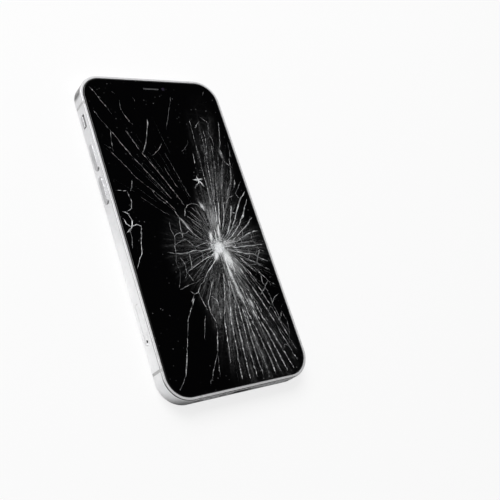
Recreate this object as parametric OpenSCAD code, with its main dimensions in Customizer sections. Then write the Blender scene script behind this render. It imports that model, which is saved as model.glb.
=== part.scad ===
// Flat-sided smartphone with a shattered front glass, lying on its back.
// +X is the right-hand side, +Y the top edge, +Z out of the screen. Millimetres.
// The origin is the middle of the back face, which lies on z = 0.

/* [Body] */
// Width across the flat sides
body_w = 71.5; // [70:0.1:74]
// Length from the bottom edge to the top edge
body_l = 146.7; // [145:0.1:150]
// Thickness over both glasses
body_t = 7.4; // [7.4:0.05:7.8]
// Radius of the four corners of the outline
corner_r = 10.9; // [9.5:0.1:12]
// Thickness of the side wall of the band
wall = 2.3; // [2.2:0.05:2.5]
// Chamfer along both outer edges of the band
chamfer = 0.35; // [0.2:0.05:0.5]
// Height by which each glass stands proud of the band
glass_proud = 0.2; // [0.15:0.05:0.25]

/* [Glass] */
// Thickness of the front cover glass
glass_t = 0.8; // [0.7:0.05:0.9]
// Thickness of the rear cover
rear_t = 0.7; // [0.6:0.05:0.7]
// Distance from the band's outside to the front glass
glass_inset = 1.5; // [1.45:0.05:1.7]
// Distance from the band's outside to the rear cover
rear_inset = 1.3; // [1.28:0.02:1.5]

/* [Cracks] */
// Place of the main impact on the glass
impact_main = [8.5, -11.5]; // [-20:0.5:20]
// Place of the second, smaller impact
impact_small = [9.5, 21]; // [-20:0.5:24]
// Number of cracks that run out from the main impact
main_cracks = 26; // [12:1:30]
// Number of cracks that run out from the small impact
small_cracks = 7; // [4:1:9]
// Width of a crack at the surface
crack_w = 0.14; // [0.1:0.02:0.2]
// Depth of a crack below the surface
crack_d = 0.3; // [0.2:0.05:0.4]

/* [Controls] */
// Travel of a pressed button
press = 0.35; // [0.2:0.05:0.35]
// Travel of the mute switch
mute_travel = 1.3; // [1:0.1:1.3]
// Distance a button stands out of the band
button_out = 0.4; // [0.3:0.05:0.5]
// Length of a volume button
volume_len = 12.4; // [11:0.2:12.8]
// Length of the side button
side_len = 18.4; // [16:0.2:20]
// Height of the push buttons
button_h = 2.9; // [2.4:0.1:2.9]
// Running gap round a button
gap = 0.12; // [0.1:0.01:0.15]
// Radius of the ejector hole in the card tray
eject_r = 0.6; // [0.5:0.05:0.65]

/* [Hidden] */
$fn = 64;
eps = 0.01;
slip = 0.02;                                // working gap between parts that fit each other
past = 1;                                   // length a cutting shape runs past the surface

// levels, from the back to the front
rear_face = glass_proud;                    // back of the band
front_face = body_t - glass_proud;          // front of the band
plate_z0 = 0.85;                            // back of the floor plate
floor_z = 1.5;                              // front of the floor plate
mid_z = body_t / 2;                         // centre line of the side controls
ledge_z = 6.15;                             // ledge that carries the display
bezel_z = ledge_z + 0.1;                    // back of the display bezel
glass_z = body_t - glass_t;                 // back of the cover glass
panel_z = 5.75;                             // back of the display panel
backplate_z = 5.55;                         // back of the display backplate
board_z = 2.1;                              // back of the logic board
board_top = 2.9;                            // front of the logic board

// edges of the outline
side_x = body_w / 2;
end_y = body_l / 2;
recess = 1.2;                               // display and rear recess, from the outside
bezel_inset = 1.25;
panel_inset = 2.7;
chin = 4.2;                                 // bottom border of the display panel
notch = [34, 6.2];                          // cut-out of the panel round the sensors
gasket_inset = bezel_inset + 0.1;
bezel_w = 0.3;                              // lip of the bezel over the wall
adhesive_inset = 4.6;                       // inner edge of the rear adhesive

sheet_t = 0.2;                              // pressed steel and thin flex circuits
plate_t = 0.25;
flex_t = 0.15;
flex_w = 9;
flex_x = [-8, -2, 5];                       // ends and fold of the display's strip
flex_y = 41;

// cracks of the glass
main_pit = 2.8;                             // radius of the crushed pit at the main impact
small_pit = 1.1;
pit_d = crack_d + 0.05;
crack_stop = 0.6;                           // the cracks end this far inside the glass
main_reach = 42;
main_spread = 26;
main_sway = 4;                              // degrees
small_reach = 4;
small_spread = 1.5;
small_sway = 9;

// side controls
flange_in = 1.15;                           // wall left in front of a button's flange
flange_t = 0.5;
flange_over = [1.2, 0.8];                   // flange longer and higher than its button by this
flange_play = 0.05;
pocket_over = 2.2;                          // pocket longer than its button by this
pocket_h = 4.4;
plunger_r = 0.7;
volume_up_y = 34.7;
volume_down_y = 19.2;
side_y = 28;
mute_y = 52;
mute_slot = [6.1, 2.9];
mute_knob = [5.7, 1.5];
mute_r = 0.4;                               // corner radius of the switch
mute_plate = [7.6, 2.9];                    // sliding plate behind the wall
mute_pocket = 8.4;
mute_pin_r = 0.4;
mute_body = [1.4, 7, 3.6];
mute_rest_z = mid_z - mute_travel / 2;
dome_in = 0.25;                             // from the wall's inside to the dome switches
dome_x = side_x - wall - dome_in;           // outside face of the dome switches
dome_r = 1.4;
dome_t = 0.45;
stop_gap = 0.05;                            // left between plunger and dome when pressed
bracket_web = 0.4;
bracket_foot = 0.95;
bracket_foot_t = 0.3;
bracket_h = 4;

// card tray
tray_y = -39.7;
tray_len = 17.2;
tray_h = 2.7;
tray_face = 1;                              // thickness of the tray's face
tray_gap = 0.1;
blade_y = -38.6;
blade_w = 13.4;
blade_t = 0.9;
blade_len = 13.2;
blade_gap = [0.2, 0.15];                    // running gap beside and over the blade
eject_y = tray_y - tray_len / 2 + 1.7;
card = [8.9, 12.4];                         // seat of the card in the blade
card_x = 4;                                 // from the tray's face to the card
lip = 0.6;                                  // width of the lip below the card
lip_t = 0.2;
reader_len = 15.6;
reader_top = 4.6;
reader_wall = 0.45;

// bottom edge
port_w = 8.94;
port_h = 3.26;
port_wall = 0.3;
port_back = 7.5;
port_front = 0.15;
port_plug = 1.1;                            // thickness of the plug at the back of the port
port_slip = 0.05;
tongue = [6.7, 0.7];
tongue_front = 0.75;
foot_lo = [-3, -67.6];
foot_hi = [3, -66.1];
foot_z = 1.7;
hole_r = 0.75;
hole_pitch = 2.1;
first_hole = 11.8;
speaker_holes = 6;
mic_holes = 4;
screw_x = 7.6;
screw_seat_r = 1.05;
screw_seat = 0.8;                           // depth of the seat of a bottom screw
screw_way_r = 0.7;
bottom_head_r = 0.95;
bottom_screw_end = 4.4;
drive_r = 0.5;                              // radius of a screw's recess
tab_w = 2.8;                                // bezel tab that a bottom screw holds
tab_t = 1.4;
tab_z = 2.4;
boss_at = [7.8, -66.6];
boss_r = 1.7;
boss_top = 4.4;
bridge_y = 3;                               // width of the bracket over the port
mesh_z = [2.7, 4.7];
mesh_over = 1;                              // mesh past the last hole's centre
dock_top = foot_z;
dock_clear = dock_top + slip;

// antenna breaks
break_w = 1.2;
break_y = 59.4;
break_x = 21.5;

// cameras and sensors
lens_main = [21.5, 60.2];
lens_wide = [21.5, 44.8];
module_w = 13.6;
module_top = 5.2;
ring_r = 6.3;
ring_gap = 0.1;
ring_back = 0.05;                           // rings stand just inside the rear face
ring_top = 0.85;
seat_z = 0.3;                               // seat of the camera windows
seat_w = 0.5;
window_r = 5;
window_t = 0.5;
barrel_r = 4.4;
barrel_z = 0.95;
mouth = [3.6, 1.6];                         // outer and inner radius of a lens mouth
cage_play = 0.5;
cage_wall = 0.3;
cage_top = 4.4;
flash_at = [10.6, 56.8];
flash_r = 2.1;
flash_top = 1.9;
flash_board = 2.6;
rear_mic_at = [10.6, 48.4];
rear_mic_r = 0.5;
rear_mic = [3, 2.4];
ear_y = 67.8;
ear_len = 8.4;
ear_h = 1.1;
front_cam = [6.3, ear_y];
front_cam_r = 1.4;
light_at = [-12, ear_y];
light_r = 0.9;
sensor_z = [5.9, 6.5];

// coil, battery and board
coil_at = [0, -3];
coil_r = [10, 22];                          // inner and outer radius of the winding
coil_t = 0.45;
coil_shield_r = 22.6;
coil_hole_r = 23;
battery_lo = [-7.9, -47];
battery_hi = [31.5, 33];
battery_z = 1.65;
battery_t = 3.6;
battery_r = 1.6;
strip_x = [-0.2, 23.8];                     // middles of the stretch-release strips
strip_w = 8;
strip_end = 4;
board_lo = [-31.5, -50];
board_hi = [-9.5, 38];
arm_hi = [7.5, 60];
board_screw_at = [[-11.4, -48], [-11.4, -33], [-29.5, 13.5], [-20, 13.5], [5.6, 57.5], [-29.5, 57.5]];
stud_r = 1.6;
thread_r = 0.6;
head_r = 1.2;
head_t = 0.5;
can_h = 1.9;                                // height of the shield cans
connector_h = 0.8;

// ---------- shared shapes ----------

module rounded(w, l, r) {
    square([w - 2 * r, l], center = true);
    square([w, l - 2 * r], center = true);
    for (x = [-1, 1], y = [-1, 1])
        translate([x * (w / 2 - r), y * (l / 2 - r)]) circle(r);
}

// a slice of the phone's outline, drawn in by inset
module slice(inset, z0, z1)
    translate([0, 0, z0]) linear_extrude(z1 - z0)
        rounded(body_w - 2 * inset, body_l - 2 * inset, corner_r - inset);

module pill(len, h) {
    square([len - h, h], center = true);
    for (s = [-1, 1])
        translate([s * (len - h) / 2, 0]) circle(h / 2);
}

// a pill that lies along Y and runs through the left side, from inset i0 to inset i1
module side_pill(len, h, i0, i1, y, z)
    translate([-side_x + i0, y, z]) rotate([90, 0, 90]) linear_extrude(i1 - i0) pill(len, h);

// a rounded rectangle through the left side, from inset i0 to inset i1
module side_rect(len, h, r, i0, i1, y, z)
    translate([-side_x + i0, y, z]) rotate([90, 0, 90]) linear_extrude(i1 - i0) rounded(len, h, r);

// a round bar across the left side, from inset i0 to inset i1
module side_bar(r, i0, i1, y, z)
    translate([-side_x + i0, y, z]) rotate([0, 90, 0]) cylinder(h = i1 - i0, r = r);

// a round bar through the bottom edge, from inset i0 to inset i1
module end_bar(r, i0, i1, x, z)
    translate([x, -end_y + i0, z]) rotate([-90, 0, 0]) cylinder(h = i1 - i0, r = r);

// a pill through the bottom edge, from inset i0 to inset i1
module end_pill(len, h, i0, i1, z)
    translate([0, -end_y + i1, z]) rotate([90, 0, 0]) linear_extrude(i1 - i0) pill(len, h);

// a box over a rectangle given by two corners
module block(lo, hi, z0, z1)
    translate([lo.x, lo.y, z0]) cube([hi.x - lo.x, hi.y - lo.y, z1 - z0]);

// an upright round bar
module post(at, r, z0, z1)
    translate([at.x, at.y, z0]) cylinder(h = z1 - z0, r = r);

// outline slab with its outer edges chamfered
module chamfered_slab(z0, z1, c) {
    function profile(w) = [[-w, z0 + c], [-w + c, z0], [w - c, z0], [w, z0 + c],
                           [w, z1 - c], [w - c, z1], [-w + c, z1], [-w, z1 - c]];
    run_y = body_l - 2 * corner_r;
    run_x = body_w - 2 * corner_r;
    translate([0, run_y / 2, 0]) rotate([90, 0, 0]) linear_extrude(run_y) polygon(profile(side_x));
    translate([-run_x / 2, 0, 0]) rotate([90, 0, 90]) linear_extrude(run_x) polygon(profile(end_y));
    for (x = [-1, 1], y = [-1, 1])
        translate([x * run_x / 2, y * run_y / 2, 0]) {
            translate([0, 0, z0]) cylinder(h = c, r1 = corner_r - c, r2 = corner_r);
            translate([0, 0, z0 + c]) cylinder(h = z1 - z0 - 2 * c, r = corner_r);
            translate([0, 0, z1 - c]) cylinder(h = c, r1 = corner_r, r2 = corner_r - c);
        }
}

// ---------- mid frame ----------

module button_way(len, y) {
    side_pill(len + 2 * gap, button_h + 2 * gap, -past, wall + eps, y, mid_z);
    side_pill(len + pocket_over, pocket_h, flange_in, wall + eps, y, mid_z);
}

module mute_way() {
    side_rect(mute_slot.x, mute_slot.y, mute_r + gap, -past, wall + eps, mute_y, mid_z);
    translate([-side_x + flange_in, mute_y - mute_pocket / 2, mid_z - pocket_h / 2])
        cube([wall + eps - flange_in, mute_pocket, pocket_h]);
}

module tray_way() {
    w = blade_w + 2 * blade_gap.x;
    h = blade_t + 2 * blade_gap.y;
    side_pill(tray_len + 2 * tray_gap, tray_h + 2 * tray_gap, -past, tray_face + 0.05, tray_y, mid_z);
    translate([-side_x, blade_y - w / 2, mid_z - h / 2])
        cube([wall + eps, w, h]);
    side_bar(eject_r, 0, wall + eps, eject_y, mid_z);
}

module bottom_ways() {
    end_pill(port_w + 2 * port_slip, port_h + 2 * port_slip, -past, wall + eps, mid_z);
    for (i = [0:speaker_holes - 1])
        end_bar(hole_r, -past, wall + eps, first_hole + i * hole_pitch, mid_z);
    for (i = [0:mic_holes - 1])
        end_bar(hole_r, -past, wall + eps, -first_hole - i * hole_pitch, mid_z);
    for (s = [-1, 1]) {
        end_bar(screw_seat_r, -past, screw_seat, s * screw_x, mid_z);
        end_bar(screw_way_r, 0, wall + eps, s * screw_x, mid_z);
    }
}

// boxes that cut the band through at each antenna break
module break_cuts() {
    for (s = [-1, 1], t = [-1, 1])
        translate([s * (side_x - wall / 2), t * break_y, mid_z])
            cube([wall, break_w, body_t], center = true);
    for (t = [-1, 1])
        translate([t * break_x, t * (end_y - wall / 2), mid_z])
            cube([break_w, wall, body_t], center = true);
}

module band() {
    difference() {
        chamfered_slab(rear_face, front_face, chamfer);
        slice(wall, -past, body_t);
        slice(recess, ledge_z, body_t);
        slice(recess, -past, plate_z0);
    }
}

module mid_frame() {
    color("silver") difference() {
        band();
        break_cuts();
        for (y = [volume_up_y, volume_down_y])
            button_way(volume_len, y);
        mirror([1, 0, 0]) button_way(side_len, side_y);
        mute_way();
        tray_way();
        bottom_ways();
    }
}

// the plate inside the band, with its studs and the two bosses over the port
module floor_plate() {
    color("silver") difference() {
        union() {
            slice(wall, plate_z0, floor_z);
            for (p = board_screw_at)
                post(p, stud_r, floor_z - eps, board_z);
            for (s = [-1, 1])
                post([s * boss_at.x, boss_at.y], boss_r, floor_z - eps, boss_top);
        }
        for (p = board_screw_at)
            post(p, thread_r + slip, plate_z0 + 0.15, board_z + past);
        for (s = [-1, 1])
            post([s * boss_at.x, boss_at.y], thread_r + slip, floor_z, boss_top + past);
        post(coil_at, coil_hole_r, 0, floor_z + past);
        for (p = [lens_main, lens_wide])
            post(p, ring_r + ring_gap, 0, floor_z + past);
        post(flash_at, flash_r + 0.3, 0, floor_z + past);
        post(rear_mic_at, rear_mic_r, 0, floor_z + past);
    }
}

module antenna_breaks() {
    color("gainsboro") intersection() {
        band();
        break_cuts();
    }
}

// ---------- back ----------

module rear_cover() {
    color("#e6e6e8") difference() {
        slice(rear_inset, 0, rear_t);
        for (p = [lens_main, lens_wide])
            post(p, ring_r + ring_gap, -past, rear_t + past);
        post(flash_at, flash_r + ring_gap, -past, rear_t + past);
        post(rear_mic_at, rear_mic_r, -past, rear_t + past);
    }
}

module rear_adhesive() {
    color("#303030") difference() {
        slice(rear_inset + 0.1, rear_t, plate_z0);
        slice(adhesive_inset, 0, plate_z0 + past);
    }
}

module charging_coil() {
    color("#b87333") difference() {
        post(coil_at, coil_r[1], rear_t, rear_t + coil_t);
        post(coil_at, coil_r[0], 0, rear_t + past);
    }
}

module coil_shield() {
    color("#4a4a50") post(coil_at, coil_shield_r, rear_t + coil_t, floor_z - 0.1);
}

// ---------- display ----------

// repeatable uneven spacing between -1 and 1
function uneven(i, k) = sin(i * k * 137.5 + 41 * k);

// a straight groove that runs out from an impact
module crack(at, angle, r0, r1)
    translate([at.x, at.y, body_t - crack_d]) rotate([0, 0, angle])
        translate([r0, -crack_w / 2, 0]) cube([r1 - r0, crack_w, crack_d + past]);

module crack_cuts() {
    intersection() {
        slice(glass_inset + crack_stop, glass_z, body_t + past);
        union() {
            for (i = [0:main_cracks - 1])
                crack(impact_main, i * 360 / main_cracks + main_sway * uneven(i, 1),
                      main_pit - 0.3, main_reach + main_spread * uneven(i, 2));
            for (i = [0:small_cracks - 1])
                crack(impact_small, i * 360 / small_cracks + small_sway * uneven(i, 1),
                      small_pit - 0.2, small_reach + small_spread * uneven(i, 2));
        }
    }
    post(impact_main, main_pit, body_t - pit_d, body_t + past);
    post(impact_small, small_pit, body_t - pit_d, body_t + past);
}

module cover_glass() {
    color("#0a0a0c") difference() {
        slice(glass_inset, glass_z, body_t);
        crack_cuts();
        translate([0, ear_y, glass_z - past]) linear_extrude(glass_t + 2 * past) pill(ear_len, ear_h);
    }
}

module display_bezel() {
    color("#141414") {
        difference() {
            slice(bezel_inset, bezel_z, front_face);
            slice(glass_inset - slip, glass_z, body_t);
            slice(wall + bezel_w, 0, body_t);
        }
        // tabs that the bottom screws hold
        for (s = [-1, 1])
            difference() {
                translate([s * screw_x - tab_w / 2, -end_y + wall + 0.1, tab_z])
                    cube([tab_w, tab_t, glass_z - tab_z]);
                end_bar(thread_r + slip, 0, wall + tab_t + past, s * screw_x, mid_z);
            }
    }
}

module display_gasket() {
    color("#202020") difference() {
        slice(gasket_inset, ledge_z, bezel_z);
        slice(wall - 0.05, 0, body_t);
    }
}

// a sheet of the display, narrower at the chin and cut out round the sensors
module display_sheet(inset, z0, z1) {
    y0 = -end_y + chin + inset - panel_inset;
    difference() {
        intersection() {
            slice(inset, z0, z1);
            translate([-side_x, y0, 0]) cube([body_w, body_l, body_t]);
        }
        translate([-notch.x / 2, end_y - panel_inset - notch.y, 0]) cube([notch.x, 2 * notch.y, body_t]);
    }
}

module display_panel() {
    color("#101018") display_sheet(panel_inset, panel_z, glass_z);
}

module display_backplate() {
    color("#77797c") display_sheet(panel_inset + 0.3, backplate_z, panel_z);
}

// folded strip from the display down to the board
module display_flex() {
    x = flex_x;
    color("#5a3a18") translate([0, flex_y + flex_w, 0]) rotate([90, 0, 0]) linear_extrude(flex_w)
        polygon([[x[0], backplate_z], [x[2], backplate_z], [x[2], board_top], [x[1], board_top],
                 [x[1], board_top + flex_t], [x[2] - flex_t, board_top + flex_t],
                 [x[2] - flex_t, backplate_z - flex_t], [x[0], backplate_z - flex_t]]);
}

// ---------- battery and boards ----------

module battery() {
    size = battery_hi - battery_lo;
    middle = (battery_lo + battery_hi) / 2;
    color("#1c1c1e") translate([middle.x, middle.y, battery_z])
        linear_extrude(battery_t) rounded(size.x, size.y, battery_r);
}

module battery_adhesive() {
    color("white") for (x = strip_x)
        block([x - strip_w / 2, battery_lo.y + strip_end], [x + strip_w / 2, battery_hi.y - strip_end],
              floor_z, battery_z);
}

module battery_connector() {
    z = board_top + sheet_t;
    color("#5a3a18") block([-12.5, 10], [battery_lo.x, 17], board_top, z);
    color("#202020") block([-15, 10.5], [-11.4, 16.5], z, z + connector_h);
}

module logic_board() {
    color("#1d4d36") difference() {
        union() {
            block(board_lo, board_hi, board_z, board_top);
            block([board_lo.x, board_hi.y - 1], arm_hi, board_z, board_top);
        }
        for (p = board_screw_at)
            post(p, thread_r + 0.15, 0, board_top + past);
    }
}

// pressed-steel can, open towards the board
module shield(lo, hi, height) {
    t = [sheet_t, sheet_t];
    color("#a9abae") difference() {
        block(lo, hi, board_top, board_top + height);
        block(lo + t, hi - t, board_top - past, board_top + height - sheet_t);
    }
}

module shield_lower() {
    shield([-30.5, -28], [-11, 8], can_h);
}

module shield_upper() {
    shield([-30.5, 19], [-11, 44], can_h);
}

module board_connectors() {
    size = [5, 2.6];
    color("#c9b27a") for (x = [-24, -17.5, -11])
        block([x, 48], [x, 48] + size, board_top, board_top + connector_h);
}

// plate over the connectors, on a foot at each end
module connector_plate() {
    lo = [-26, 46.5];
    hi = [-4.5, 52.2];
    foot = 0.4;
    top = board_top + connector_h;
    color("#8d9094") {
        block(lo, hi, top, top + plate_t);
        for (x = [lo.x, hi.x - foot])
            block([x, lo.y], [x + foot, hi.y], board_top, top);
    }
}

// a screw with its head on z and a six-lobed recess
module screw_down(at, z, shank) {
    difference() {
        post(at, head_r, z, z + head_t);
        translate([at.x, at.y, z + 0.2]) cylinder(h = head_t, r = drive_r, $fn = 6);
    }
    post(at, thread_r, z - shank, z);
}

module board_screws() {
    color("#8a8a8c") for (p = board_screw_at)
        screw_down(p, board_top, 1.8);
}

// flex circuit of the bottom edge, with a tail up to the board
module dock_flex() {
    color("#5a3a18") {
        block([-5.5, -69.5], [5.5, -64.6], floor_z, dock_top);
        block([-30, -64.6], [9, -50.6], floor_z, dock_top);
        block([-14, -50.6], [-13, -44], floor_z, dock_top);
        block([-18, -50.6], [-13.9, -44], floor_z, dock_top);
        block([-17.5, -49.5], [-14.5, -47.5], dock_top, board_z);
    }
}

// ---------- cameras and sensors ----------

// tray that holds both camera modules
module camera_cage() {
    over = (module_w / 2 + cage_play) * [1, 1];
    lo = lens_wide - over;
    hi = lens_main + over;
    t = cage_wall * [1, 1];
    color("#9a9c9f") difference() {
        block(lo, hi, floor_z, cage_top);
        block(lo + t, hi - t, floor_z + cage_wall, cage_top + past);
        for (p = [lens_main, lens_wide])
            post(p, barrel_r + 0.3, 0, floor_z + past);
    }
}

module camera_module(at) {
    h = module_w / 2 * [1, 1];
    base = floor_z + cage_wall;
    color("#1a1a1c") {
        block(at - h, at + h, base, module_top);
        difference() {
            post(at, barrel_r, barrel_z, base + eps);
            translate([at.x, at.y, barrel_z - 0.05]) cylinder(h = 0.5, r1 = mouth[0], r2 = mouth[1]);
        }
    }
}

module camera_main() {
    camera_module(lens_main);
}

module camera_wide() {
    camera_module(lens_wide);
}

module camera_rings() {
    color("#b8babd") for (p = [lens_main, lens_wide])
        difference() {
            post(p, ring_r, ring_back, ring_top);
            post(p, window_r + 0.05, seat_z, ring_top + past);
            post(p, window_r - seat_w, -past, seat_z + past);
        }
}

module camera_windows() {
    color("#202028") for (p = [lens_main, lens_wide])
        post(p, window_r, seat_z, seat_z + window_t);
}

module flash_led() {
    half = flash_r * [1, 1];
    color("#f3ecc8") {
        post(flash_at, flash_r, ring_back, flash_top);
        block(flash_at - half, flash_at + half, flash_top, flash_board);
    }
}

module rear_microphone() {
    color("#c9b27a") block(rear_mic_at - rear_mic / 2, rear_mic_at + rear_mic / 2, floor_z, 2.5);
}

// bracket under the glass that holds the earpiece and the sensors
module sensor_bracket() {
    half = [16.4, 2.6];
    color("#3a3a3c") difference() {
        block([0, ear_y] - half, [0, ear_y] + half, sensor_z[0], sensor_z[1]);
        post(front_cam, front_cam_r + 0.15, 0, body_t);
        post(light_at, light_r, 0, body_t);
        translate([0, ear_y, 0]) linear_extrude(body_t) pill(ear_len - 0.4, ear_h);
    }
}

module front_camera() {
    size = 2.4;
    top = 5.5;
    color("#1a1a1c") {
        block(front_cam - [size, size], front_cam + [size + 0.2, size], 3.4, top);
        post(front_cam, front_cam_r, top - eps, glass_z);
    }
}

module light_sensor() {
    half = [1.6, 1.2];
    color("#26262a") block(light_at - half, light_at + half, 5.1, sensor_z[0]);
}

module earpiece_speaker() {
    color("#262626") difference() {
        block([-9.2, 64.8], [3.2, 70.6], 3.5, sensor_z[0]);
        translate([-1.2, ear_y, 5.5]) linear_extrude(2) pill(5.6, ear_h);
    }
}

module earpiece_mesh() {
    play = 0.06;
    color("#3c3c3e") translate([0, ear_y, glass_z])
        linear_extrude(0.45) pill(ear_len - play, ear_h - play);
}

// ---------- bottom of the phone ----------

module loudspeaker() {
    top = 5.3;
    color("#202022") intersection() {
        slice(wall + 0.4, dock_clear, top);
        union() {
            block([12.4, -70.5], [40, -50.6], dock_clear, top);
            block([10.4, -62.8], [12.5, -50.6], dock_clear, top);
        }
    }
}

module vibration_motor() {
    color("#a0a2a5") block([-31, -63], [-13, -53], dock_clear, 4.9);
}

module bottom_microphone() {
    color("#c9b27a") block([-17.2, -70.6], [-13, -67.8], mesh_z[0], mesh_z[1]);
}

module bottom_meshes() {
    back = -end_y + wall;
    speaker_end = first_hole + (speaker_holes - 1) * hole_pitch + mesh_over;
    mic_end = -first_hole - (mic_holes - 1) * hole_pitch - mesh_over;
    color("#2c2c2e") {
        block([first_hole - mesh_over, back], [speaker_end, back + sheet_t], mesh_z[0], mesh_z[1]);
        block([mic_end, back], [-first_hole + mesh_over, back + sheet_t], mesh_z[0], mesh_z[1]);
    }
}

module charge_port() {
    inner_w = port_w - 2 * port_wall;
    inner_h = port_h - 2 * port_wall;
    color("#8f9194") {
        difference() {
            end_pill(port_w, port_h, port_front, port_back, mid_z);
            end_pill(inner_w, inner_h, -past, port_back - port_wall, mid_z);
        }
        block(foot_lo, foot_hi, foot_z, mid_z - port_h / 2 + 0.1);
    }
}

module port_tongue() {
    back = port_back - port_wall;
    inner_w = port_w - 2 * port_wall;
    inner_h = port_h - 2 * port_wall;
    color("#18181a") {
        translate([-tongue.x / 2, -end_y + tongue_front, mid_z - tongue.y / 2])
            cube([tongue.x, back - tongue_front, tongue.y]);
        end_pill(inner_w - 2 * port_slip, inner_h - 2 * port_slip, back - port_plug, back, mid_z);
    }
}

// sheet bridge over the port, screwed to both bosses
module port_bracket() {
    top = mid_z + port_h / 2;
    half = [9.6, 5.2, 4.9];
    upper = half + sheet_t * [0, 1, 1];
    color("#8d9094") difference() {
        translate([0, boss_at.y + bridge_y / 2, 0]) rotate([90, 0, 0]) linear_extrude(bridge_y)
            polygon([[-half[0], boss_top], [-half[1], boss_top], [-half[2], top],
                     [half[2], top], [half[1], boss_top], [half[0], boss_top],
                     [half[0], boss_top + sheet_t], [upper[1], boss_top + sheet_t],
                     [upper[2], top + sheet_t],
                     [-upper[2], top + sheet_t], [-upper[1], boss_top + sheet_t],
                     [-half[0], boss_top + sheet_t]]);
        for (s = [-1, 1])
            post([s * boss_at.x, boss_at.y], thread_r + 0.15, 0, body_t);
    }
}

module bracket_screws() {
    color("#8a8a8c") for (s = [-1, 1])
        screw_down([s * boss_at.x, boss_at.y], boss_top + sheet_t, 2.6);
}

module bottom_screws() {
    color("#b4b4b6") for (s = [-1, 1])
        difference() {
            union() {
                end_bar(bottom_head_r, 0.1, screw_seat, s * screw_x, mid_z);
                end_bar(thread_r, screw_seat - 0.1, bottom_screw_end, s * screw_x, mid_z);
            }
            translate([s * screw_x, -end_y - 0.4, mid_z]) rotate([-90, 0, 0])
                cylinder(h = 0.8, r = drive_r, $fn = 5);
        }
}

// ---------- side controls ----------

// cap, flange and plunger of a push button in the left side
module push_button(len, y) {
    flange = flange_in + flange_play;
    tip = wall + dome_in - stop_gap - press;
    color("#c4c6c8") {
        side_pill(len, button_h, -button_out, flange + eps, y, mid_z);
        side_pill(len + flange_over.x, button_h + flange_over.y, flange, flange + flange_t, y, mid_z);
        side_bar(plunger_r, flange + flange_t - eps, tip, y, mid_z);
    }
}

module volume_up_button() {
    push_button(volume_len, volume_up_y);
}

module volume_down_button() {
    push_button(volume_len, volume_down_y);
}

module side_button() {
    mirror([1, 0, 0]) push_button(side_len, side_y);
}

module mute_switch() {
    plate = flange_in + flange_play;
    z = mute_rest_z;
    color("#c4c6c8") {
        side_rect(mute_knob.x, mute_knob.y, mute_r, -button_out + 0.1, plate + eps, mute_y, z);
        translate([-side_x + plate, mute_y - mute_plate.x / 2, z - mute_plate.y / 2])
            cube([flange_t, mute_plate.x, mute_plate.y]);
        side_bar(mute_pin_r, plate + flange_t - eps, wall - 0.1, mute_y, z);
    }
}

module mute_switch_body() {
    color("#26262a") translate([-dome_x, mute_y - mute_body.y / 2, mid_z - mute_body.z / 2])
        cube(mute_body);
}

// strip behind the buttons that carries their dome switches
module bracket_strip(y0, y1) {
    color("#8d9094") {
        translate([-dome_x + dome_t, y0, floor_z]) cube([bracket_web, y1 - y0, bracket_h]);
        translate([-dome_x + dome_t, y0, floor_z]) cube([bracket_foot, y1 - y0, bracket_foot_t]);
    }
}

module button_bracket_left() {
    bracket_strip(12, 44);
}

module button_bracket_right() {
    mirror([1, 0, 0]) bracket_strip(18, 38);
}

module dome(y)
    translate([-dome_x, y, mid_z]) rotate([0, 90, 0]) cylinder(h = dome_t, r = dome_r);

module dome_switches() {
    color("#d8c48a") {
        for (y = [volume_up_y, volume_down_y])
            dome(y);
        mirror([1, 0, 0]) dome(side_y);
    }
}

// ---------- card tray ----------

module sim_tray() {
    x = -side_x + card_x;
    under = mid_z - blade_t / 2;
    color("#c4c6c8") difference() {
        union() {
            side_pill(tray_len, tray_h, 0, tray_face, tray_y, mid_z);
            translate([-side_x + tray_face - 0.1, blade_y - blade_w / 2, under])
                cube([blade_len, blade_w, blade_t]);
        }
        side_bar(eject_r, -past, tray_face + past, eject_y, mid_z);
        // seat for the card, with a lip below it
        translate([x, blade_y - card.y / 2, under + lip_t])
            cube([card.x, card.y, blade_t]);
        translate([x + lip, blade_y - card.y / 2 + lip, under - past])
            cube([card.x - 2 * lip, card.y - 2 * lip, 2 * past]);
    }
}

// slotted housing that the tray slides into
module sim_reader() {
    half_w = blade_w / 2 + blade_gap.x + 0.05;
    half_h = blade_t / 2 + blade_gap.y;
    x0 = -side_x + wall + dome_in;
    x1 = -side_x + reader_len;
    color("#a9abae") difference() {
        block([x0, blade_y - half_w - reader_wall], [x1, blade_y + half_w + reader_wall],
              board_top, reader_top);
        block([x0 - past, blade_y - half_w], [x1 - past, blade_y + half_w], mid_z - half_h, mid_z + half_h);
    }
}

mid_frame();
floor_plate();
antenna_breaks();
rear_cover();
rear_adhesive();
cover_glass();
display_bezel();
display_gasket();
display_panel();
display_backplate();
display_flex();
battery();
battery_adhesive();
battery_connector();
logic_board();
shield_lower();
shield_upper();
board_connectors();
connector_plate();
board_screws();
camera_cage();
camera_main();
camera_wide();
camera_rings();
camera_windows();
flash_led();
rear_microphone();
sensor_bracket();
front_camera();
light_sensor();
earpiece_speaker();
earpiece_mesh();
loudspeaker();
vibration_motor();
bottom_microphone();
bottom_meshes();
charge_port();
port_tongue();
port_bracket();
dock_flex();
charging_coil();
coil_shield();
volume_up_button();
volume_down_button();
side_button();
mute_switch();
mute_switch_body();
button_bracket_left();
button_bracket_right();
dome_switches();
sim_tray();
sim_reader();
bottom_screws();
bracket_screws();
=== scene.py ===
"""A flat-sided phone with a shattered front glass, lying on its back on a pale studio floor.

Shapes are written in millimetres in the phone's own frame and turned into metres by build():
+X is the side with the long button, +Y the earpiece end, +Z out of the screen.
"""
import math
import random
import bmesh
import bpy
from mathutils import Matrix, Vector, noise
from mathutils.geometry import delaunay_2d_cdt
from mathutils.kdtree import KDTree


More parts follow.
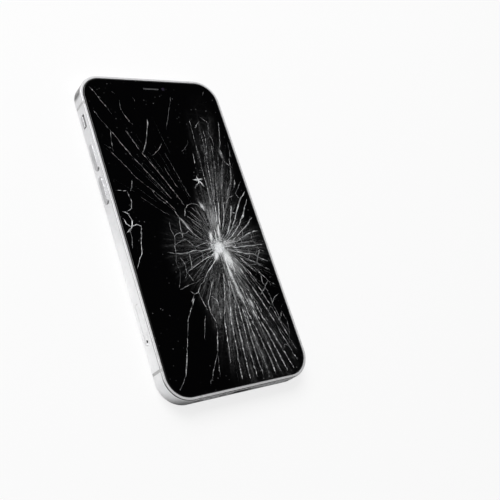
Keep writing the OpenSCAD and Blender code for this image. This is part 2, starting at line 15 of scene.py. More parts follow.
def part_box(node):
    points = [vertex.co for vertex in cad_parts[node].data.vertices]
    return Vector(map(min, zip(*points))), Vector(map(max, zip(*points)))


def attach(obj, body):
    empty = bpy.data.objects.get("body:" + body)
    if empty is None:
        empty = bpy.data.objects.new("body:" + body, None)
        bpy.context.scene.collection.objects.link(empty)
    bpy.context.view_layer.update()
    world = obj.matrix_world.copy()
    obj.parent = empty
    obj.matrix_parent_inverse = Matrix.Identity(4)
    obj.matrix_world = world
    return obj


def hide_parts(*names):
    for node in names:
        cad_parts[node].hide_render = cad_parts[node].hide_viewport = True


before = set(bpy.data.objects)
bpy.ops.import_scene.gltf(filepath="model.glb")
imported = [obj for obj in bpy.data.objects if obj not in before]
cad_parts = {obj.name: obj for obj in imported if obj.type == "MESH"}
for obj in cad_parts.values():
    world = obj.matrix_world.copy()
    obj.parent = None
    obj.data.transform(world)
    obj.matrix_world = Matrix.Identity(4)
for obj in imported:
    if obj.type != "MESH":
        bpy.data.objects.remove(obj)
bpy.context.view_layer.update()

MM = 0.001
BODY = "phone"


# ---------------------------------------------------------------- sizes from the frame, in mm

def node_box(node):
    """The low and high corner of a CAD node."""
    low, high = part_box(node)
    return low / MM, high / MM


BAND_LO, BAND_HI = node_box("mid_frame")
GLASS_LO, GLASS_HI = node_box("cover_glass")
REAR_LO, REAR_HI = node_box("rear_cover")
SIDE_X, END_Y = BAND_HI.x, BAND_HI.y
MID_Z = (GLASS_HI.z + REAR_LO.z) / 2
CORNER_R = 10.9
WALL, CHAMFER = 2.3, 0.35
RECESS, LEDGE_Z, PLATE_Z = 1.2, 6.15, 0.85      # the seats of the two glasses inside the band
GLASS_INSET = SIDE_X - GLASS_HI.x
REAR_INSET = SIDE_X - REAR_HI.x
GLASS_TOP, EDGE_ROUND = GLASS_HI.z - 0.03, 0.32
BREAK_W, BREAK_Y, BREAK_X = 1.2, 59.4, 21.5     # antenna breaks: width, and place on the sides and ends
LENSES = ((21.5, 60.2), (21.5, 44.8))
FLASH_AT, REAR_MIC_AT = (10.6, 56.8), (10.6, 48.4)
EAR_Y, EAR_LEN, EAR_H = 67.8, 8.4, 1.1          # the earpiece slot
FRONT_CAMERA = (6.3, EAR_Y)
EJECT_Y, TRAY_Y, TRAY_H = -46.6, -38.6, 2.7     # ejector hole, middle of the tray's blade, height of its face
HOLES = [11.8 + 2.1 * i for i in range(6)] + [-11.8 - 2.1 * i for i in range(4)]     # in the bottom edge
SCREW_X = 7.6
KEY_H, KEY_FLANGE = 2.9, 1.2                    # height of a key, and how much longer its flange is
MUTE_LEN, MUTE_H, MUTE_DROP = 5.7, 1.5, 0.65    # the mute slider's knob, and how far below the middle it rests
MUTE_WAY, MUTE_FLANGE = (6.1, 2.9), (7.6, 2.9)  # its opening in the band, and its flange
FLANGE_IN, FLANGE_OUT, PLUNGER_END = 1.2, 1.7, 2.15             # insets
PORT_W, PORT_H, PORT_WALL = 8.94, 3.26, 0.3
TONGUE_W, TONGUE_H, TONGUE_IN = 6.7, 0.7, 0.75  # the port's tongue, and how far inside the band it starts
PAD_HALF, PAD_LEN, PAD_PITCH, PAD_UP = 0.12, 4.2, 0.5, 0.03     # the contacts on it

# where the glass was hit, and how far from the band's outside its cracks stop
HIT = Vector((8.5, -11.5))
SMALL_HIT = Vector((9.5, 21.0))
LEFT_BREAK = Vector((-30.5, 4.0))
BOTTOM_FAN = Vector((15.0, -54.0))
CRACK_STOP = 2.3


# ---------------------------------------------------------------- meshes

def build(name, points, faces, materials, body=BODY, replaces=(), slot=None, smooth=30, face_material=None):
    """Makes one piece from points in mm, and lets it ride on a body."""
    mesh = bpy.data.meshes.new(name)
    mesh.from_pydata([Vector(p) * MM for p in points], [], faces)
    mesh.validate()
    for material in materials:
        mesh.materials.append(material)
    if face_material:
        mesh.polygons.foreach_set("material_index", face_material)
    piece = bpy.data.objects.new(name, mesh)
    bpy.context.scene.collection.objects.link(piece)
    fix_normals(mesh)
    shade(mesh, smooth)
    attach(piece, body)
    if replaces:
        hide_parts(*replaces)
    return piece


def fix_normals(mesh):
    """Turns every face outwards."""
    bm = bmesh.new()
    bm.from_mesh(mesh)
    bmesh.ops.recalc_face_normals(bm, faces=bm.faces)
    bm.to_mesh(mesh)
    bm.free()


def shade(mesh, angle):
    """Smooth shading with edges over that angle kept sharp; 0 shades flat."""
    mesh.polygons.foreach_set("use_smooth", [angle > 0] * len(mesh.polygons))
    if angle:
        mesh.set_sharp_from_angle(angle=math.radians(angle))


def round_corners(cx, cy, r, steps):
    """Four round corners about (cx, cy) in each quarter, joined by straight sides."""
    points = []
    for quarter, (sx, sy) in enumerate(((1, 1), (-1, 1), (-1, -1), (1, -1))):
        for i in range(steps + 1):
            a = math.radians(90 * (quarter + i / steps))
            points.append((sx * cx + r * math.cos(a), sy * cy + r * math.sin(a)))
    return points


def outline(inset):
    """The phone's outline drawn in by inset."""
    return round_corners(SIDE_X - CORNER_R, END_Y - CORNER_R, CORNER_R - inset, 14)


def rounded_box(length, height, r, steps=6):
    """A rectangle with corners of radius r."""
    return round_corners(length / 2 - r, height / 2 - r, r, steps)


def pill(length, height, steps=12):
    """A rectangle with round ends, long in the first direction."""
    r, half = height / 2, (length - height) / 2
    points = []
    for end, start in ((1, -90), (-1, 90)):
        for i in range(steps + 1):
            a = math.radians(start + 180 * i / steps)
            points.append((end * half + r * math.cos(a), r * math.sin(a)))
    return points


def disc(r, steps=32):
    """A circle."""
    return [(r * math.cos(2 * math.pi * i / steps), r * math.sin(2 * math.pi * i / steps)) for i in range(steps)]


def eased(profile, r, steps=3):
    """Rounds the corners of an open profile of (offset, depth) points."""
    out = [profile[0]]
    for before, corner, after in zip(profile, profile[1:], profile[2:]):
        a, b, c = Vector(before), Vector(corner), Vector(after)
        into, away = a - b, c - b
        reach = min(r, into.length * 0.45, away.length * 0.45)
        start, end = b + into.normalized() * reach, b + away.normalized() * reach
        for i in range(steps + 1):
            t = i / steps
            out.append(tuple(start.lerp(b, t).lerp(b.lerp(end, t), t)))
    return out + [profile[-1]]


def stack(rings, close_start=True, close_end=True):
    """Joins rings of the same number of points into a skin, with flat ends where asked."""
    n = len(rings[0])
    points = [p for ring in rings for p in ring]
    faces = [(k * n + i, k * n + j, (k + 1) * n + j, (k + 1) * n + i)
             for k in range(len(rings) - 1) for i, j in sides(range(n))]
    if close_start:
        faces.append(tuple(range(n)))
    if close_end:
        faces.append(tuple(range((len(rings) - 1) * n, len(rings) * n)))
    return points, faces


def loop_stack(rings):
    """Joins rings into a closed tube, the last ring to the first."""
    points, faces = stack(rings, False, False)
    last = (len(rings) - 1) * len(rings[0])
    faces += [(last + i, last + j, j, i) for i, j in sides(range(len(rings[0])))]
    return points, faces


def upright(shape, at, z):
    """A flat shape laid level at height z."""
    return [(at[0] + x, at[1] + y, z) for x, y in shape]


def on_left(shape, inset, y, z):
    """A flat shape stood against the left side, at that inset."""
    return [(-SIDE_X + inset, y + a, z + b) for a, b in shape]


def on_right(shape, inset, y, z):
    """A flat shape stood against the right side, at that inset."""
    return [(SIDE_X - inset, y + a, z + b) for a, b in shape]


def on_bottom(shape, inset, x, z):
    """A flat shape stood against the bottom edge, at that inset."""
    return [(x + a, -END_Y + inset, z + b) for a, b in shape]


def round_into(place, profile, at, z, steps=24):
    """A round shape let into a side of the phone, from (radius, inset) pairs."""
    return stack([place(disc(r, steps), i, at, z) for r, i in profile])


def post(profile, at, steps):
    """A round shape on an upright axis, from (radius, z) pairs."""
    return stack([upright(disc(r, steps), at, z) for r, z in profile])


def toward(angle):
    """A step of 1 mm at an angle in radians."""
    return Vector((math.cos(angle), math.sin(angle)))


def sides(ring):
    """Each item of a closed ring with the one after it."""
    return list(zip(ring, [*ring[1:], ring[0]]))


def joined(parts):
    """Several (points, faces) put into one."""
    points, faces = [], []
    for p, f in parts:
        start = len(points)
        points += p
        faces += [tuple(start + i for i in face) for face in f]
    return points, faces


def slab(outline_at, profile):
    """A closed solid whose rings follow profile, a list of (inset, z)."""
    return stack([[(x, y, z) for x, y in outline_at(inset)] for inset, z in profile])


def block(low, high):
    """A box between two corners."""
    (x0, y0, z0), (x1, y1, z1) = low, high
    points = [(x, y, z) for z in (z0, z1) for x, y in ((x0, y0), (x1, y0), (x1, y1), (x0, y1))]
    return points, [(3, 2, 1, 0), (4, 5, 6, 7), (0, 1, 5, 4), (1, 2, 6, 5), (2, 3, 7, 6), (3, 0, 4, 7)]


def scratch_object(shape):
    """A closed shape made into an object for a short time."""
    points, faces = shape
    mesh = bpy.data.meshes.new("scratch")
    mesh.from_pydata([Vector(p) * MM for p in points], [], faces)
    fix_normals(mesh)
    made = bpy.data.objects.new("scratch", mesh)
    bpy.context.scene.collection.objects.link(made)
    return made


def carve(shape, cutters, operation="DIFFERENCE"):
    """Cuts closed shapes out of a closed shape, and gives back points in mm and faces."""
    target = scratch_object(shape)
    tools = [scratch_object(c) for c in cutters]
    for tool in tools:
        step = target.modifiers.new("cut", "BOOLEAN")
        step.operation, step.solver, step.object = operation, "EXACT", tool
    result = bpy.data.meshes.new_from_object(target.evaluated_get(bpy.context.evaluated_depsgraph_get()))
    points = [v.co / MM for v in result.vertices]
    faces = [tuple(p.vertices) for p in result.polygons]
    for thing in [target, *tools]:
        mesh = thing.data
        bpy.data.objects.remove(thing)
        bpy.data.meshes.remove(mesh)
    bpy.data.meshes.remove(result)
    return points, faces


def soften(piece, width):
    """Rounds a piece's sharp edges a little and keeps its flat faces flat."""
    bevel = piece.modifiers.new("edges", "BEVEL")
    bevel.width, bevel.segments = width * MM, 1
    bevel.limit_method, bevel.angle_limit = "ANGLE", math.radians(35)
    bevel.use_clamp_overlap = True
    bevel.harden_normals = True


# ---------------------------------------------------------------- materials

class Graph:
    """Short names for building a node tree. Wherever a value is asked for, a node's output does as well."""

    def __init__(self, tree):
        self.tree = tree

    def add(self, kind, **settings):
        node = self.tree.nodes.new(kind)
        for key, value in settings.items():
            setattr(node, key, value)
        return node

    def feed(self, socket, value):
        if isinstance(value, bpy.types.NodeSocket):
            self.tree.links.new(value, socket)
        elif value is not None:
            socket.default_value = value

    def fill(self, node, **values):
        """Sets a node's inputs: underscores stand for spaces."""
        for key, value in values.items():
            self.feed(node.inputs[key.replace("_", " ")], value)
        return node

    def math(self, operation, *values, clamp=False):
        node = self.add("ShaderNodeMath", operation=operation, use_clamp=clamp)
        for socket, value in zip(node.inputs, values):
            self.feed(socket, value)
        return node.outputs[0]

    def times(self, a, b):
        return self.math("MULTIPLY", a, b)

    def plus(self, a, b, clamp=False):
        return self.math("ADD", a, b, clamp=clamp)

    def minus(self, a, b):
        return self.math("SUBTRACT", a, b)

    def most(self, a, b):
        return self.math("MAXIMUM", a, b)

    def times_plus(self, a, b, c, clamp=False):
        """a times b, plus c."""
        return self.math("MULTIPLY_ADD", a, b, c, clamp=clamp)

    def ramp(self, value, low, high, start=0.0, end=1.0, kind="LINEAR"):
        """Maps value from low..high to start..end, held at both ends."""
        node = self.add("ShaderNodeMapRange", interpolation_type=kind)
        return self.fill(node, Value=value, From_Min=low, From_Max=high, To_Min=start,
                         To_Max=end).outputs["Result"]

    def blend(self, share, a, b):
        """Shader a where share is 0, and b where it is 1."""
        node = self.add("ShaderNodeMixShader")
        for socket, value in zip(node.inputs, (share, a.outputs[0], b.outputs[0])):
            self.feed(socket, value)
        return node.outputs[0]


class Nodes(Graph):
    """One material's nodes."""

    def __init__(self, name):
        self.material = bpy.data.materials.new(name)
        self.material.use_nodes = True
        super().__init__(self.material.node_tree)
        self.shader = self.tree.nodes["Principled BSDF"]
        self.place = self.add("ShaderNodeTexCoord").outputs["Object"]

    def finish(self, **values):
        """Sets the shader's sockets and gives back the material."""
        self.fill(self.shader, **values)
        return self.material

    def scaled(self, factors=(1, 1, 1), turn=0.0):
        """The piece's own coordinates in mm, each axis times its factor."""
        return self.fill(self.add("ShaderNodeMapping"), Vector=self.place, Scale=[f / MM for f in factors],
                         Rotation=(0, 0, turn)).outputs["Vector"]

    def noise(self, scale=1.0, detail=3.0, rough=0.5, at=None, distortion=0.0):
        return self.fill(self.add("ShaderNodeTexNoise"), Vector=at or self.scaled(), Scale=scale, Detail=detail,
                         Roughness=rough, Distortion=distortion).outputs["Fac"]

    def cells(self, scale=1.0, at=None, feature="F1"):
        return self.fill(self.add("ShaderNodeTexVoronoi", feature=feature), Vector=at or self.scaled(),
                         Scale=scale).outputs["Distance"]

    def mix(self, factor, a, b):
        """A colour between a and b."""
        node = self.add("ShaderNodeMix", data_type="RGBA")
        self.feed(node.inputs["Factor"], factor)
        for socket, value in ((node.inputs[6], a), (node.inputs[7], b)):
            self.feed(socket, (*value, 1.0) if isinstance(value, tuple) else value)
        return node.outputs[2]

    def bump(self, height, strength=0.2, distance=0.02):
        return self.fill(self.add("ShaderNodeBump"), Height=height, Strength=strength,
                         Distance=distance * MM).outputs["Normal"]

    def axis(self, name):
        """One of the piece's own coordinates, in mm."""
        node = self.fill(self.add("ShaderNodeSeparateXYZ"), Vector=self.place)
        return self.math("DIVIDE", node.outputs[name], MM)


def metal(name, colour, rough, grain=(0.3, 0.3, 0.3)):
    """Fine-grained metal with faint smudges and paler scratches."""
    n = Nodes(name)
    smudge = n.noise(0.16, 4, 0.6)
    grit = n.noise(9, 2, 0.6, n.scaled(grain))
    scratch = n.ramp(n.noise(1, 5, 0.75, n.scaled((0.35, 6, 6), 0.4)), 0.66, 0.72)
    shade_of = n.times_plus(smudge, 0.12, 0.9)
    worn = tuple(min(1.0, c * 1.12) for c in colour)
    dull = tuple(c * 0.8 for c in colour)
    body = n.mix(n.ramp(smudge, 0.35, 0.7), dull, colour)
    body = n.mix(n.times(scratch, 0.5), body, worn)
    roughness = n.times(n.times_plus(grit, 0.35, rough * 0.85), shade_of)
    height = n.minus(n.times(grit, 0.6), n.times(scratch, 0.4))
    return n.finish(Base_Color=body, Metallic=1.0, Roughness=roughness, Normal=n.bump(height, 0.12, 0.01))


def plastic(name, colour, rough, speckle=0.25, bump=0.15, coat=0.0):
    """Moulded plastic with a fine texture and faint variation."""
    n = Nodes(name)
    mottled = n.noise(0.5, 4, 0.6)
    texture = n.noise(7, 2, 0.6)
    dark = tuple(c * (1 - speckle) for c in colour)
    return n.finish(Base_Color=n.mix(n.ramp(mottled, 0.3, 0.7), dark, colour),
                    Roughness=n.times_plus(texture, 0.25, rough - 0.1), Normal=n.bump(texture, bump, 0.02),
                    Coat_Weight=coat)


def board_material():
    """Solder mask with faint copper traces under it."""
    n = Nodes("circuit_board")
    lanes = n.cells(0.7, None, "DISTANCE_TO_EDGE")
    trace = n.ramp(lanes, 0.03, 0.06, 1.0, 0.0)
    return n.finish(Base_Color=n.mix(trace, (0.012, 0.07, 0.035), (0.03, 0.16, 0.07)),
                    Roughness=n.times_plus(n.noise(2), 0.2, 0.3), Normal=n.bump(trace, 0.3, 0.03))


def woven_material(name, colour):
    """A fine woven mesh."""
    n = Nodes(name)
    waves = []
    for turn in (0.785, -0.785):
        node = n.fill(n.add("ShaderNodeTexWave"), Vector=n.scaled(turn=turn), Scale=2.2)
        waves.append(node.outputs["Fac"])
    weave = n.most(*waves)
    return n.finish(Base_Color=n.mix(weave, tuple(c * 0.2 for c in colour), colour), Metallic=0.6,
                    Roughness=n.times_plus(weave, -0.2, 0.6), Normal=n.bump(weave, 0.6, 0.05))


def band_material():
    """Silver anodised aluminium: blasted sides, a paler milky rim, polished chamfers, scuffs and nicks, with
    painted light along its length.
    """
    n = Nodes("band_aluminium")
    z = n.axis("Z")
    low_edge = n.ramp(z, BAND_LO.z + CHAMFER, BAND_LO.z + CHAMFER + 0.12, 1.0, 0.0)
    high_edge = n.ramp(z, BAND_HI.z - CHAMFER - 0.12, BAND_HI.z - CHAMFER)
    edge = n.most(low_edge, high_edge)
    rim = n.ramp(z, BAND_HI.z - 0.12, BAND_HI.z - 0.02)
    smudge = n.noise(0.12, 5, 0.62)
    blast = n.noise(14, 2, 0.7)
    scuffs = n.ramp(n.noise(1, 6, 0.72, n.scaled((0.5, 0.16, 1.5))), 0.62, 0.7)
    nicks = n.ramp(n.noise(0.9, 3, 0.7), 0.7, 0.76)
    y = n.axis("Y")
    # Painted light along the band: a painted reflection makes the sides and chamfers paler from y -56 to -25, and
    # painted shade darkens them from y -25 up to the earpiece end and from y -56 down to the bottom end.
    painted_shade_and_sheen = n.most(n.ramp(y, -25, 20), n.ramp(y, -76, -56, 1.0, 0.0))
    clean = n.mix(painted_shade_and_sheen, (0.97, 0.97, 0.975), (0.79, 0.79, 0.8))
    colour = n.mix(n.ramp(smudge, 0.35, 0.68), n.mix(painted_shade_and_sheen, (0.88, 0.88, 0.885), (0.71, 0.71, 0.72)), clean)
    colour = n.mix(n.times(scuffs, 0.4), colour, (0.6, 0.6, 0.61))
    colour = n.mix(n.times(edge, 0.6), colour, n.mix(painted_shade_and_sheen, (0.9, 0.9, 0.91), (0.72, 0.72, 0.73)))
    colour = n.mix(n.times(n.times(nicks, edge), 0.6), colour, (0.35, 0.35, 0.36))
    # A painted dark reflection on the top left corner, below the rim.
    colour = n.mix(n.times(corner_dark_reflection(n), 0.95), colour, (0.07, 0.07, 0.072))
    side_rough = n.times_plus(blast, 0.14, 0.27)
    rough = n.times_plus(n.minus(0.16, side_rough), edge, side_rough)
    rough = n.times_plus(n.minus(0.5, rough), rim, rough)
    rough = n.plus(rough, n.times(scuffs, 0.12))
    height = n.minus(n.times(blast, 0.5), n.times(nicks, 1.2))
    return n.finish(Base_Color=colour, Metallic=n.times_plus(rim, -0.5, 1.0), Roughness=rough,
                    Normal=n.bump(height, 0.18, 0.012))


def corner_dark_reflection(n):
    """The near-black patch on the top left corner, below the rim: a painted dark reflection."""
    x, y, z = n.axis("X"), n.axis("Y"), n.axis("Z")
    wide = n.times(n.ramp(y, 62.6, 64.4), n.ramp(y, 67.2, 69.4, 1.0, 0.0))
    here = n.times(wide, n.ramp(x, -SIDE_X + 4, -SIDE_X + 5, 1.0, 0.0))
    here = n.times(here, n.ramp(z, BAND_HI.z - 1.1, BAND_HI.z - CHAMFER, 1.0, 0.0))
    return n.times(here, n.ramp(n.noise(0.5, 4, 0.7), 0.3, 0.55, 0.55, 1.0))


def from_centre(n, centre):
    """Steps in x and y from a point of the glass, in mm, and the distance."""
    x, y = n.minus(n.axis("X"), centre.x), n.minus(n.axis("Y"), centre.y)
    return x, y, n.math("SQRT", n.plus(n.times(x, x), n.times(y, y)))


def fan(n, centre, per_turn, along, seed):
    """Coordinates that run round and out from a blow, so that patterns in them follow its rays."""
    x, y, distance = from_centre(n, centre)
    spread = n.add("ShaderNodeCombineXYZ")
    angle = n.math("ARCTAN2", y, x)
    return n.fill(spread, X=n.times(angle, per_turn), Y=n.times(distance, along), Z=seed).outputs[0]


def patch(n, x, y, heading, reach, spread):
    """A soft oval, 1 in its middle, that reaches so far along its heading and to each side, in mm."""
    node = n.fill(n.add("ShaderNodeMapping", vector_type="TEXTURE"), Vector=n.place,
                  Location=(x * MM, y * MM, GLASS_HI.z * MM), Rotation=(0, 0, math.radians(heading)),
                  Scale=(reach * MM, spread * MM, 1))
    length = n.add("ShaderNodeVectorMath", operation="LENGTH")
    n.feed(length.inputs[0], node.outputs["Vector"])
    return n.ramp(length.outputs["Value"], 0.05, 1.0, 1.0, 0.0, "SMOOTHSTEP")


# Patches of white on the glass: x, y, heading, half-length, half-width in mm, and strength.
# Crushed glass breaks up into grains at its edges; dust is soft and shows the rays that cross it.
CRUSHED = (
    (8.8, -12.0, 60, 5.2, 4.2, 1.5), (6.5, -6.4, 76, 4.6, 1.6, 0.8), (11.0, -5.0, 84, 5.6, 1.9, 0.5),
    (6.2, -15.4, 62, 4.4, 1.9, 0.9), (11.3, -17.0, -80, 8.4, 4.0, 0.66), (10.2, -24.6, -88, 6.0, 1.7, 0.45),
    (11.4, -33.6, -76, 7.0, 1.9, 0.26), (13.4, -10.4, 4, 7.0, 4.0, 0.24), (6.9, 8.2, -66, 3.2, 1.5, 0.55),
    (10.6, 1.5, 84, 10.0, 3.6, 0.2), (15.9, -38.4, -76, 4.2, 1.6, 0.34), (-4.0, -0.4, -60, 6.4, 1.2, 0.22),
    (13.6, -19.5, -66, 11.0, 5.0, 0.17), (26.4, 34.0, 96, 4.5, 1.3, 0.2),
)
DUST = (
    (9.5, -14, -80, 15, 9, 0.4), (11.5, -30, -80, 20, 7, 0.5), (6, -34, -88, 27, 17, 0.27),
    (21, -11, 0, 17, 16, 0.22), (15, 8, 68, 32, 14, 0.19), (20, 34, 82, 36, 12, 0.07),
    (-5, -12, 0, 16, 22, 0.1), (12, -56, -80, 30, 24, 0.11), (9, 4, 80, 12, 8, 0.3),
)


def glass_material():
    """Black glass: polished, with crushed glass, a fine web and dust round the blows, and finger marks."""
    n = Nodes("front_glass")
    lines = n.ramp(n.noise(1.0, 3, 0.55, fan(n, HIT, 15, 0.05, 3.0)), 0.48, 0.64)
    finer = n.ramp(n.noise(1.0, 2, 0.6, fan(n, HIT, 42, 0.25, 8.0)), 0.46, 0.64)
    web = n.ramp(n.cells(1.0, fan(n, HIT, 15, 0.3, 1.5), "DISTANCE_TO_EDGE"), 0.02, 0.1, 1.0, 0.0)
    small_web = n.ramp(n.cells(0.75, None, "DISTANCE_TO_EDGE"), 0.02, 0.1, 1.0, 0.0)
    web = n.most(web, n.times(small_web, 0.6))
    grains = n.ramp(n.noise(1.1, 4, 0.75), 0.38, 0.64)
    rays_here = n.times(lines, n.times_plus(finer, 0.9, 0.25))
    texture = n.times_plus(web, 0.22, n.plus(rays_here, 0.03))
    texture = n.times(texture, n.times_plus(grains, 0.9, 0.4))
    crumble = n.times_plus(grains, 0.5, n.times_plus(finer, 0.3, n.times(web, 0.2)))
    dust, crushed = 0.0, 0.0
    for x, y, heading, reach, spread, strength in DUST:
        dust = n.times_plus(patch(n, x, y, heading, reach, spread), strength, dust)
    for x, y, heading, reach, spread, strength in CRUSHED:
        oval = n.times(patch(n, x, y, heading, reach, spread), 1.35)
        oval = n.times(n.times_plus(crumble, 1.3, n.minus(oval, 0.4)), oval)
        crushed = n.most(n.times(oval, 0.62 * strength), crushed)
    white = n.times_plus(dust, texture, crushed, clamp=True)
    specks = n.ramp(n.cells(0.42), 0.04, 0.14, 0.12, 0.0)
    specks = n.times(specks, n.ramp(n.noise(0.08, 3), 0.46, 0.6))
    white = n.plus(white, specks, clamp=True)
    smears = n.noise(0.09, 5, 0.6, n.scaled((1, 0.45, 1), 0.5), 0.8)
    rough = n.plus(n.ramp(smears, 0.4, 0.7, 0.03, 0.1), n.times(white, 0.5))
    return n.finish(Base_Color=n.mix(white, (0.0012, 0.0012, 0.0014), (0.9, 0.91, 0.92)), Roughness=rough,
                    IOR=1.5, Normal=n.bump(n.plus(white, n.times(smears, 0.03)), 0.2, 0.02))


def fracture_material():
    """The walls of a crack: glass broken white, in beads along its length, paler towards the blow."""
    n = Nodes("broken_glass")
    distance = from_centre(n, HIT)[-1]
    near = n.ramp(distance, 6, 50, 1.0, 0.0)
    patches = n.noise(0.4, 3, 0.65)
    glints = n.noise(1.1, 2, 0.6)
    level = n.times(n.ramp(patches, 0.38, 0.62, 0.2, 1.0), n.ramp(glints, 0.44, 0.57, 0.08, 1.0))
    level = n.times(level, n.times_plus(near, 0.55, 0.45))
    level = n.most(level, n.ramp(distance, 6, 34, 0.85, 0.0))
    for place, full, reach, least in ((SMALL_HIT, 2, 3.5, 0.8), (LEFT_BREAK, 2, 9, 0.8),
                                      (BOTTOM_FAN, 14, 27, 0.12)):
        level = n.most(level, n.ramp(from_centre(n, place)[-1], full, reach, least, 0.0))
    return n.finish(Base_Color=n.mix(level, (0.03, 0.03, 0.034), (0.95, 0.96, 0.97)),
                    Roughness=n.ramp(glints, 0.3, 0.7, 0.25, 0.6), Normal=n.bump(glints, 0.4, 0.05))


def crumb_material():
    """Loose grains of crushed glass: white, with duller faces."""
    n = Nodes("crushed_glass")
    facets = n.noise(2.2, 2, 0.6)
    return n.finish(Base_Color=n.mix(n.ramp(facets, 0.35, 0.6), (0.55, 0.56, 0.58), (0.95, 0.96, 0.97)),
                    Roughness=n.ramp(facets, 0.3, 0.7, 0.2, 0.5), Normal=n.bump(facets, 0.4, 0.05))


def window_material():
    """Coated lens glass, which shows what lies behind it."""
    n = Nodes("lens_window")
    return n.finish(Base_Color=n.mix(n.ramp(n.noise(0.4), 0.4, 0.6), (0.75, 0.78, 0.85), (0.7875, 0.819, 0.8925)),
                    Roughness=n.ramp(n.noise(0.8), 0.4, 0.7, 0.02, 0.05), Transmission_Weight=1.0, IOR=1.5)


def lens_material():
    """Dark lens with a coating that glows violet and green."""
    n = Nodes("lens_coating")
    return n.finish(Base_Color=n.mix(n.ramp(n.noise(0.7), 0.35, 0.65), (0.025, 0.018, 0.035), (0.02, 0.028, 0.028)),
                    Roughness=n.ramp(n.noise(2), 0.3, 0.7, 0.03, 0.07), Coat_Weight=1.0)


M = {
    "band": band_material(),
    # The keys and the mute knob take a darker copy of the band's aluminium: painted shade that dims their
    # highlights.
    "control": metal("control_aluminium", (0.63, 0.63, 0.64), 0.46),
    "inner_metal": metal("inner_aluminium", (0.6, 0.6, 0.61), 0.42),
    "steel": metal("steel_sheet", (0.5, 0.51, 0.52), 0.36, (0.1, 2.0, 1.0)),
    # The charge port's steel is coloured near black, far darker than steel: painted shade inside the port opening.
    "port": metal("port_steel_painted_shade", (0.1, 0.1, 0.104), 0.4),
    "screw": metal("screw_steel", (0.55, 0.55, 0.56), 0.25),
    "ring": metal("ring_metal", (0.72, 0.72, 0.73), 0.16),
    "gold": metal("contact_plating", (0.83, 0.62, 0.3), 0.25),
    "copper": metal("copper_winding", (0.72, 0.36, 0.2), 0.3, (2.5, 2.5, 0.2)),
    "break": plastic("break_plastic", (0.56, 0.56, 0.56), 0.5, 0.12),
    "black": plastic("black_plastic", (0.014, 0.014, 0.015), 0.5),
    "cell": plastic("cell_pouch", (0.02, 0.02, 0.022), 0.42, 0.2, 0.4),
    "flex": plastic("flex_film", (0.16, 0.07, 0.02), 0.35),
    "strip": plastic("stretch_strip", (0.75, 0.75, 0.72), 0.6),
    "film": plastic("adhesive_film", (0.03, 0.03, 0.03), 0.7),
    "ferrite": plastic("ferrite_sheet", (0.04, 0.04, 0.045), 0.55),
    "flash": plastic("flash_lens", (0.85, 0.78, 0.5), 0.25, 0.1, 0.5, 0.5),
    "rear": plastic("rear_glass", (0.78, 0.785, 0.79), 0.12, 0.03, 0.03, 1.0),
    "panel": plastic("display_panel", (0.006, 0.006, 0.008), 0.2),
    "board": board_material(),
    "mesh": woven_material("dark_mesh", (0.13, 0.13, 0.135)),
    "glass": glass_material(),
    "fracture": fracture_material(),
    "crumbs": crumb_material(),
    "window": window_material(),
    "lens": lens_material(),
}


# ---------------------------------------------------------------- band and antenna breaks

KEYS = (("volume_up_button", on_left), ("volume_down_button", on_left), ("side_button", on_right))


def key_span(node):
    """A key's length and its middle along Y."""
    low, high = node_box(node)
    return high.y - low.y - KEY_FLANGE, (high.y + low.y) / 2


def band_ways():
    """Every opening through the band, as closed cutting shapes."""
    out, deep, inner = -1.0, WALL + 0.05, 1.15      # insets where cuts start and end
    cuts = []

    def cut(place, shape, start, end, at):
        cuts.append(stack([place(shape, i, at, MID_Z) for i in (start, end)]))

    for node, place in KEYS:
        length, y = key_span(node)
        cut(place, pill(length + 0.16, KEY_H + 0.16), out, deep, y)
        cut(place, pill(length + 2.2, 4.4), inner, deep, y)
    _, y = key_span("mute_switch")
    cut(on_left, rounded_box(*MUTE_WAY, 0.5), out, deep, y)
    cut(on_left, rounded_box(8.4, 4.4, 0.1, 1), inner, deep, y)
    low, high = node_box("sim_tray")
    cut(on_left, pill(high.y - low.y + 0.2, TRAY_H + 0.2), out, 1.05, (high.y + low.y) / 2)
    cut(on_left, rounded_box(13.8, 1.2, 0.05, 1), 0.5, deep, TRAY_Y)
    cut(on_left, disc(0.65, 20), 0.5, deep, EJECT_Y)
    cut(on_bottom, pill(PORT_W + 0.1, PORT_H + 0.1), out, deep, 0)
    hole = [(0.98, out), (0.98, 0.0), (0.75, 0.16), (0.75, deep)]
    screw = [(1.2, out), (1.2, 0.0), (1.05, 0.12), (1.05, 0.8), (0.7, 0.8), (0.7, deep)]
    cuts += [round_into(on_bottom, hole, x, MID_Z) for x in HOLES]
    cuts += [round_into(on_bottom, screw, x, MID_Z) for x in (-SCREW_X, SCREW_X)]
    return cuts


def break_boxes(grow=0.0):
    """Boxes through the band where the antenna breaks are."""
    half, low, high = BREAK_W / 2 + grow, -1, 9
    boxes = []
    for s in (-1, 1):
        x0, x1 = sorted((s * (SIDE_X - WALL), s * (SIDE_X + 1)))
        for y in (-BREAK_Y, BREAK_Y):
            boxes.append(block((x0, y - half, low), (x1, y + half, high)))
        y0, y1 = sorted((s * (END_Y - WALL), s * (END_Y + 1)))
        boxes.append(block((s * BREAK_X - half, y0, low), (s * BREAK_X + half, y1, high)))
    return boxes


def band_blank(sink=0.0):
    """The band before its openings are cut: chamfered outside, stepped inside."""
    z0, z1 = BAND_LO.z + sink, BAND_HI.z - sink
    outside = eased([(1.0, z0), (CHAMFER, z0), (sink, z0 + CHAMFER), (sink, z1 - CHAMFER), (CHAMFER, z1),
                     (1.0, z1)], 0.1)
    inside = [slab(outline, [(inset, low), (inset, high)])
              for inset, low, high in ((WALL, -1, 9), (RECESS, LEDGE_Z, 9), (RECESS, -1, PLATE_Z))]
    return carve(slab(outline, outside), inside)


